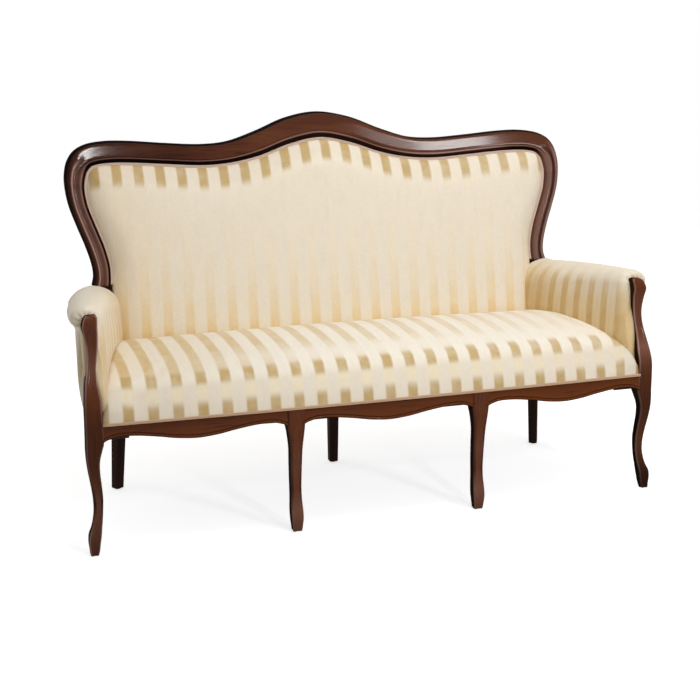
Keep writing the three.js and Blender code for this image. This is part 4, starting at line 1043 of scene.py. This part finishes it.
def makeSeat():
    rise = sofa["seatTop"] - seat["base"]
    depth = sofa["seatDepth"] + sofa["coverOut"]
    path, lengths = arcPath(seat["profile"], depth, rise, seat["pathSteps"])

    # cells are finer over the front roll than on the level
    def shareAt(v):
        return v * (1 - seat["finerFront"]) + seat["finerFront"] * v * v

    def top(u, v):
        along, up = atLength(path, lengths, shareAt(v))
        front = frontFaceY(u * sofa["seatHalfFront"]) - sofa["coverOut"]
        y = lerp(front, frontLine + sofa["seatDepth"], along / depth)
        half = armInnerX(y, u) + seat["tuck"] + seat["frontTuck"] * falling(y - frontLine, seat["tuckFade"])
        shoulder = edgeDrop((half - abs(u * half)) / seat["sideRound"])
        height = up / rise * (rise + seat["swell"] * (1 - u * u))
        corner = rising(abs(u), seat["cornerFrom"]) * clamp(up / seat["cornerRise"])
        height += seat["cornerFill"] * corner * math.exp(-(along / seat["cornerBack"]) ** 2)
        drop = shoulder * seat["sideRound"] * rising(height, seat["roundRise"])
        pull = shoulder * seat["sidePull"] * falling(along / depth, seat["pullFade"])
        return Vector((u * half, y + pull, seat["base"] + max(height - drop, 0)))

    def under(u, v):
        p = top(u, v)
        return Vector((p.x, p.y, seat["base"] - seat["underside"]))

    piece = slabbed("seatPad", seat["columns"], seat["rows"], top, under)
    count, shares = padShares(seat)[1:]
    rear = frontLine + sofa["seatDepth"] - seat["heldBack"]
    stuffed(piece, lambda v: v.index >= count or v.co.z < seat["base"] + seat["heldRim"] or v.co.y > rear,
            seat["cap"])
    marks = [seatMarks(shareAt(v) * lengths[-1], u) for u, v in shares]
    finished(piece, marks, seatSatin, "seat_cover", "seat_foam")


makeSeat()
print("seat ready")


# Back pad: held round its border by the gimp, swollen most low down
back = {
    "columns": 104, "rows": 76, "bottom": 0.440, "edge": 0.004, "border": 0.062, "crown": 0.027,
    "swellPower": 0.7, "seatBack": 0.012, "cap": 0.007, "tail": 0.065, "tailBack": 0.001,
    # painted dark reflections in blocks below the crest, and a painted sheen that pales the gold in the
    # middle, so that the gold grows downwards, slowly and then fast
    "block": (0.043, 0.028), "blockRight": 0.8, "fadeTop": 0.80, "fadeDepth": 0.33,
    "goldTop": 0.08, "goldSlow": 0.18, "goldFast": 0.70, "fastPower": 3.2,
    # warm painted shade on the left and low down, and painted shade under the crest and by the left stile
    "leftWarm": 0.16, "leftFrom": (0.55, 0.45), "lowWarm": 0.25, "lowFrom": (0.45, 0.05),
    "topShade": 0.10, "shadeFrom": (0.02, 0.05), "shadeSides": (1.6, 0.6),
    "stileShade": 0.03, "stileFrom": (0.9, 0.1),
}


def edgeLists(inset):
    steps = backFrame["steps"]
    top = [insetEdge(i / steps, inset) for i in range(backFrame["corner"] * steps + 1)]
    side = [insetEdge(i / steps, inset) for i in range(backFrame["corner"] * steps, lastPoint * steps + 1)]
    return top, side


def topEdgeZ(top, x):
    for a, b in zip(top, top[1:]):
        if abs(x) <= b.x:
            return lerp(a.z, b.z, clamp((abs(x) - a.x) / (b.x - a.x)))
    return top[-1].z


def sideEdgeX(side, z):
    for a, b in zip(side, side[1:]):
        if z >= b.z:
            return lerp(b.x, a.x, clamp((z - b.z) / (a.z - b.z)))
    return side[-1].x


# The marks of the back's cloth at u across, at a height and at a distance below the crest: painted
# reflection, painted sheen on the gold, and painted shade
def backMarks(u, height, drop):
    low = clamp((back["fadeTop"] - height) / back["fadeDepth"])
    topShade = back["topShade"] * falling(drop, back["shadeFrom"]) * lerp(*back["shadeSides"], (u + 1) / 2)
    lowWarm = back["lowWarm"] * falling(height, back["lowFrom"])
    return {
        "block": falling(drop, back["block"]) * lerp(1, back["blockRight"], ease(u)),
        "gold": back["goldTop"] + back["goldSlow"] * low + back["goldFast"] * low ** back["fastPower"],
        "warm": back["leftWarm"] * rising(-u, back["leftFrom"]) + lowWarm,
        "shade": topShade + back["stileShade"] * rising(-u, back["stileFrom"]),
    }


def makeBackPad():
    top, side = edgeLists(back["edge"])
    corner = top[-1]
    base = back["bottom"]

    def outline(u, v):
        z = lerp(base, topEdgeZ(top, u * corner.x), v)
        return Vector((u * sideEdgeX(side, lerp(base, corner.z, v)), 0, z))

    def front(u, v):
        p = outline(u, v)
        toEdge = min(sideEdgeX(side, p.z) - abs(p.x), topEdgeZ(top, p.x) - p.z)
        roll = 1 - edgeDrop(toEdge / back["border"])
        rise = clamp((p.z - base) / (sofa["crestTop"] - base)) ** back["swellPower"]
        straight = frontLine + sofa["seatDepth"] + sofa["clearance"] + sofa["backSlope"] * (p.z - base)
        swell = lerp(backFaceY(p.x, p.z) - straight, back["crown"], rise)
        return Vector((p.x, backFaceY(p.x, p.z) - roll * swell, p.z))

    # the cloth runs on down behind the seat, so that nothing shows through between the two
    def rear(u, v):
        if v == 0:
            return front(u, v) + Vector((0, back["tailBack"], -back["tail"]))
        p = outline(u, v)
        return Vector((p.x, backFaceY(p.x, p.z) + back["seatBack"], p.z))

    piece = slabbed("backPad", back["columns"], back["rows"], front, rear)
    columns, count, shares = padShares(back)
    places = [v.co.copy() for v in piece.data.vertices][:count]
    stuffed(piece, lambda v: v.index >= count or v.index % columns in (0, columns - 1)
            or v.index // columns in (0, back["rows"]), back["cap"])
    marks = [backMarks(u, p.z, topEdgeZ(top, p.x) - p.z) for (u, v), p in zip(shares, places)]
    finished(piece, marks, backSatin, "back_cover", "back_foam")


makeBackPad()
print("back pad ready")


# Arms: an inner wall, a roll over the top and an overhang above the outside panel
arm = {
    "outerFront": 0.838, "outerRear": 0.801, "top": 0.650, "fall": 0.037, "fallPower": 1.55, "sideShare": 0.8,
    "underShare": 1.42, "overhang": 0.017, "overhangPower": 2.4, "lean": 0.32, "coverGap": 0.003,
    "behindLeftPost": 0.010, "behindRightPost": 0.028, "leftOut": 0.003, "middleX": 0.75,
    "wallSteps": 5, "arcSteps": 10, "underSteps": (0.3, 0.6, 0.85, 1), "outsideSteps": (0, 0.33, 0.66, 1),
    # how the front closes: share of the arm's length, and how much of the section is left there
    "closing": [(-0.012, 0.05), (-0.012, 0.2), (-0.011, 0.4), (-0.009, 0.58), (-0.005, 0.74), (0.001, 0.86),
                (0.009, 0.94), (0.02, 0.98), (0.035, 1)],
    "closeFrom": 0.550, "rings": 24, "pleats": 11, "pleatDepth": 0.0020, "pleatShare": 1.05,
    "rearFrom": (0.700, 0.024), "behindFace": 0.010, "cap": 0.006, "heldLow": 0.02,
    # marks: gold in painted shade on the wall, growing from the post on the right arm, and fading out under
    # the roll
    "leftTan": (0.6, 0.6), "rightTan": (0.55, 0.8), "goldInShadeFrom": (0.07, 0.02), "goldInShadeFade": (0.585, 0.035),
    "goldInShadeLoss": 0.85,
    # one broad band of gold by the post, and little contrast by the back
    "bandTo": (0.076, 0.008), "rearGold": 0.55, "rearGoldFrom": (0.36, 0.04), "solidFade": (0.598, 0.025),
    # warm painted shade low on the inner walls, stronger on the right arm and weaker outside
    "leftWarm": 0.3, "rightWarm": 0.75, "warmShadeFade": (0.50, 0.13), "innerTo": 0.77, "outerWarm": 0.5,
    "gatherShade": 0.6,
}


# One column of the post's table as a height curve: the first or second row from the rail is the lowest
# that counts, and the last two only round its top
def postAt(z, column, lowest=0, highest=-3):
    table = [(row[0], column(*row[1:])) for row in postTable() if row[0] >= sofa["railTop"]]
    return sofa["kneeSide"] * tableAt(table, clamp(z, table[lowest][0], table[highest][0]))[1]


def postFrontY(z):
    return frontLine + sofa["kneeFront"] + postAt(z, lambda side, outward, backward: backward)


def postOuterX(z):
    return sofa["kneeOuter"] + postAt(z, lambda side, outward, backward: outward)


def postBackY(z):
    return frontLine + sofa["kneeFront"] + postAt(z, lambda side, outward, backward: side + backward, 1)


def armRoll(y, side=1):
    run = runAt(y)
    outer, inner = lerp(arm["outerRear"], arm["outerFront"], run), armInnerX(y, side) + sofa["clearance"]
    outer += arm["leftOut"] if side < 0 else 0
    top = arm["top"] - arm["fall"] * clamp(1 - run) ** arm["fallPower"]
    return outer, inner, top, (outer - inner) / 2, (outer + inner) / 2


# Points round the section of an arm, inner wall first: share towards the outside, x and z
def armSection(y, side):
    outer, inner, top, radius, middle = armRoll(y, side)
    low, steps = sofa["railTop"] + sofa["clearance"], arm["arcSteps"]
    drop, under = arm["sideShare"] * radius, top - arm["underShare"] * radius
    points = [(0, inner, lerp(low, top - radius, i / arm["wallSteps"])) for i in range(arm["wallSteps"])]
    for i in range(steps + 1):
        a = math.pi / 2 * i / steps
        points.append((i / steps / 2, middle - radius * math.cos(a), top - radius * (1 - math.sin(a))))
    for i in range(1, steps + 1):
        a = math.pi / 2 * i / steps
        points.append(((1 + i / steps) / 2, middle + radius * math.sin(a), top - drop * (1 - math.cos(a))))
    for t in arm["underSteps"]:
        points.append((1, outer - arm["overhang"] * t ** arm["overhangPower"], lerp(top - drop, under, t)))
    wall = outer - arm["overhang"] - panel["thick"] - sofa["clearance"]
    foot = railOuterX(y) - panel["thick"] - sofa["clearance"]
    for t in arm["outsideSteps"]:
        points.append((1, lerp(wall, foot, t), lerp(under - sofa["clearance"], low, t)))
    return points


# The cloth meets the inner side of the post, a little behind the post's front
def armFrontY(across, z, side=1):
    inside = frontLine - sofa["coverOut"] + arm["lean"] * (z - sofa["railTop"])
    inside = max(inside, postFrontY(z) + arm["behindLeftPost" if side < 0 else "behindRightPost"])
    return lerp(inside, postBackY(z) - arm["coverGap"], min(1, 2 * across))


def armRearY(x, z):
    return backFaceY(x, z) + lerp(arm["behindFace"], sofa["frameDepth"], rising(abs(x), arm["rearFrom"]))


def makeArm(name, side):
    stations = arm["closing"] + [(lerp(arm["closing"][-1][0], 1, i / arm["rings"]), 1)
                                 for i in range(1, arm["rings"] + 1)]
    rings, gather, level = [], [], sofa["seatTop"]
    for s, left in stations:
        nominal = lerp(armFrontY(1, level), armRearY(arm["middleX"], level), max(s, 0))
        top, radius, middle = armRoll(nominal, side)[2:]
        ring = []
        for number, (across, x0, z0) in enumerate(armSection(nominal, side)):
            y = lerp(armFrontY(across, z0, side), armRearY(x0, z0), s)
            x = armSection(y, side)[number][1]
            fromHeight = lerp(level, arm["closeFrom"], min(1, 2 * across))
            rise = clamp((z0 - fromHeight) / (top - fromHeight - radius))
            keep = lerp(1, left, rise)
            z = lerp(top - radius, z0, keep) if z0 > fromHeight else z0
            wave = math.cos(math.atan2(z0 - (top - radius), x0 - middle) * arm["pleats"])
            fold = wave * arm["pleatDepth"] * rise * math.sin(math.pi * clamp(left * arm["pleatShare"]))
            ring.append(Vector((side * lerp(middle, x, keep), y - fold, z)))
            gather.append(arm["gatherShade"] * rise * (1 - left) * (1 + wave) / 2)
        rings.append(ring)
    piece = pulled(name + "ArmPad", rings)
    count, last = len(rings[0]), len(rings) - 1
    lowPoints = {i for i in range(count) if rings[0][i].z < sofa["railTop"] + arm["heldLow"]}
    stuffed(piece, lambda v: v.index // count in (0, last) or v.index % count in lowPoints, arm["cap"])
    listed(piece, "shade", gather)

    # painted shade: the gold darkens on the wall
    def tan(p):
        strength = lerp(*arm[name + "Tan"], rising(p.y - frontLine, arm["goldInShadeFrom"]))
        return strength * (1 - arm["goldInShadeLoss"] * rising(p.z, arm["goldInShadeFade"]))

    def solid(p):
        run = p.y - frontLine
        broad = max(falling(run, arm["bandTo"]), arm["rearGold"] * rising(run, arm["rearGoldFrom"]))
        return falling(p.z, arm["solidFade"]) * broad

    # warm painted shade
    def warm(p):
        share = 1 if abs(p.x) < arm["innerTo"] else arm["outerWarm"]
        return arm[name + "Warm"] * falling(p.z, arm["warmShadeFade"]) * share

    for kind, valueAt in (("tan", tan), ("solid", solid), ("warm", warm)):
        marked(piece, kind, valueAt)
    finished(piece, [], armSatin, name + "_arm_pad")


# The outside of an arm, a swollen panel that turns in behind the post
panel = {
    "thick": 0.006, "swell": 0.014, "swellPower": 0.8, "tuck": 0.008, "turn": (0.35, 0.65), "turnRun": 0.07,
    "overPost": 0.004, "edge": 0.002, "edgeShare": 0.03, "columns": 30, "rows": 20, "tan": 0.9, "shade": 0.3,
}


def makeArmPanel(name, side):
    level, far = sofa["seatTop"], arm["middleX"]

    def surface(offset):
        def at(u, v):
            s = (u + 1) / 2
            low = sofa["railTop"] + sofa["clearance"]
            top, radius = armRoll(lerp(postBackY(level), armRearY(far, level), s))[2:4]
            z = lerp(low, top - arm["underShare"] * radius + panel["tuck"], v)
            y = lerp(postBackY(z) + sofa["clearance"], armRearY(far, z), s)
            swell = panel["swell"] * math.sin(math.pi * v ** panel["swellPower"])
            x = lerp(railOuterX(y), armRoll(y)[0] - arm["overhang"], v) + swell
            start, growth = panel["turn"]
            x = lerp(postOuterX(z) - panel["overPost"], x, ease(start + growth * s / panel["turnRun"]))
            rounded = panel["edge"] * edgeDrop(min(v, 1 - v) / panel["edgeShare"]) if offset == 0 else 0
            return Vector((side * (x - offset - rounded), y, z))
        return at

    piece = slabbed(name + "ArmPanel", panel["columns"], panel["rows"], surface(0), surface(panel["thick"]))
    # painted shade: the outside panel's gold is darkened, and the whole panel is shaded
    for mark in ("tan", "shade"):
        marked(piece, mark, lambda p: panel[mark])
    dressed(crisp(piece), armSatin, "striped_satin", name + "_arm_panel")


for name, side in sides:
    makeArm(name, side)
    makeArmPanel(name, side)
print("arms ready")


# The board that closes the back, covered in the same cloth
outside = {"lap": -0.026, "thick": 0.006, "columns": 64, "rows": 44, "gold": 0.8}


def makeOutsideBack():
    top, side = edgeLists(outside["lap"])
    corner = top[-1]

    def surface(depth):
        def at(u, v):
            z = lerp(sofa["railBottom"], topEdgeZ(top, u * corner.x), v)
            x = u * sideEdgeX(side, lerp(sofa["railBottom"], corner.z, v))
            return Vector((x, backFaceY(x, z) + sofa["frameDepth"] + depth, z))
        return at

    gap = sofa["clearance"]
    piece = slabbed("outsideBack", outside["columns"], outside["rows"], surface(gap),
                    surface(gap + outside["thick"]))
    marked(piece, "gold", lambda p: outside["gold"])
    dressed(crisp(piece), outsideSatin, "striped_satin", "outside_back")


makeOutsideBack()
print("outside back ready")


# Back legs: tapered squares with eased corners, darkened all over by painted shade
backLegs = {
    "side": 0.035, "taper": 0.76, "turn": 31, "x": 0.667, "splay": 0.017, "rake": 0.010, "forward": 0.011,
    "ease": 0.003, "toeEase": 0.0024, "glazeAndShade": 0.62, "stations": (0, 0.004, 0.02, 0.35, 0.7, 1),
}


def makeBackLeg(name, side):
    turn = math.radians(-side * backLegs["turn"])
    c, s = math.cos(turn), math.sin(turn)
    x = side * backLegs["x"]
    y = backFaceY(x, sofa["railTop"]) - backLegs["forward"] + backLegs["side"] / 2
    foot, knee = backLegs["side"] * backLegs["taper"], backLegs["side"]
    rings = []
    for t in backLegs["stations"]:
        z = lerp(sofa["glideHeight"] + sofa["clearance"], sofa["railBottom"] - sofa["clearance"], t)
        middleX = x + side * backLegs["splay"] * (1 - t)
        middleY = y + backLegs["rake"] * abs(side) * (1 - t)
        size = lerp(foot, knee, t) - (backLegs["toeEase"] if t == 0 else 0)
        rings.append([Vector((middleX + p.x * c - p.y * s, middleY + p.x * s + p.y * c, z))
                      for p in squareRing(0, 0, z, size, backLegs["ease"], 0)])
    leg = marked(pulled(f"back{name.title()}Leg", rings), "glazeAndShade", lambda p: backLegs["glazeAndShade"])
    dressed(crisp(leg), showWoodZ, "show_wood", f"back_{name}_leg")


# Side rails: bars with eased edges
sideRail = {"thick": 0.030, "ease": 0.0025, "stations": 8, "arc": 3}


def makeSideRail(name, side):
    front = frontLine + sofa["kneeFront"] + sofa["kneeSide"] + sofa["clearance"]
    rear = backFaceY(sofa["railOuterRear"], sofa["railTop"])
    low, high, thick, corner = sofa["railBottom"], sofa["railTop"], sideRail["thick"], sideRail["ease"]
    rings = []
    for i in range(sideRail["stations"] + 1):
        y = lerp(front, rear, i / sideRail["stations"])
        ring = []
        for quarter, (u, v) in enumerate(((1, 1), (0, 1), (0, 0), (1, 0))):
            x = railOuterX(y) - thick + corner + u * (thick - 2 * corner)
            z = low + corner + v * (high - low - 2 * corner)
            for step in range(sideRail["arc"] + 1):
                a = (quarter + step / sideRail["arc"]) * math.pi / 2
                ring.append(Vector((side * (x + corner * math.cos(a)), y, z + corner * math.sin(a))))
        rings.append(ring)
    dressed(crisp(pulled(name + "SideRail", rings)), showWoodY, "show_wood", name + "_side_rail")


for name, side in sides + [("centre", 0)]:
    makeBackLeg(name, side)
for name, side in sides:
    makeSideRail(name, side)
print("rear legs and side rails ready")


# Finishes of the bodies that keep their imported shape: two colours each, and the scale of a cloth's weave
plain = {
    "beech": ((0.42, 0.26, 0.13, 1), (0.27, 0.15, 0.07, 1)),
    # the corner blocks are near black: painted shade where they show under the rails
    "stainAndShade": ((0.012, 0.0055, 0.0035, 1), (0.006, 0.003, 0.002, 1)),
    "webbing": ((0.17, 0.10, 0.045, 1), (0.05, 0.025, 0.012, 1), 140),
    "dust": ((0.006, 0.006, 0.006, 1), (0.012, 0.012, 0.012, 1), 320),
    "felt": ((0.075, 0.062, 0.05, 1), (0.04, 0.033, 0.027, 1), 400),
    # scale, stretch and detail of the sawn wood's two noises
    "grain": (18, (0.1, 0.4, 1), 5), "fleck": (160, (0.2, 0.5, 1), 2),
    "fleckPart": 0.2, "darkRange": (0.45, 0.75),
    "weaveTone": 0.5, "fuzzTone": 0.4, "weaveRelief": 0.5,
}


def makeBeech(name, kind):
    finish = Finish(name, Roughness=0.7, Specular_IOR_Level=0.3)
    grain, fleck = finish.noise(*plain["grain"]), finish.noise(*plain["fleck"])
    dark = finish.ramp(grain + fleck * plain["fleckPart"], *plain["darkRange"])
    return finish.feed(Base_Color=finish.mix(dark, *plain[kind]),
                       Normal=finish.bump(fleck, strength=0.3, distance=0.0005))


def makeCloth(name, kind):
    first, second, scale = plain[kind]
    finish = Finish(name, Roughness=0.9, Specular_IOR_Level=0.2)
    weave, fuzz = finish.bands("X", scale), finish.noise(scale, detail=3)
    tone = finish.mix(weave * plain["weaveTone"] + fuzz * plain["fuzzTone"], first, second)
    relief = (weave + fuzz) * plain["weaveRelief"]
    return finish.feed(Base_Color=tone, Normal=finish.bump(relief, strength=0.4, distance=0.0005))


# The first word that a node's name holds chooses its finish
def dressFrame():
    beech = makeBeech("sawnBeech", "beech")
    choices = {
        "strap": makeCloth("elasticWebbing", "webbing"), "dust_cover": makeCloth("blackNonwoven", "dust"),
        # near-black beech for the corner blocks, as painted shade
        "glide": makeCloth("pressedFelt", "felt"), "block": makeBeech("shadowBeech", "stainAndShade"),
        "back_seat_rail": showWoodX,
        "cross_rail": beech, "arm_rail": beech, "upright": beech, "tack_rail": beech,
    }
    for name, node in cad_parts.items():
        fitting = [finish for word, finish in choices.items() if word in name]
        for place in node.material_slots if fitting else []:
            place.material = fitting[0]


dressFrame()


print("frame dressed")
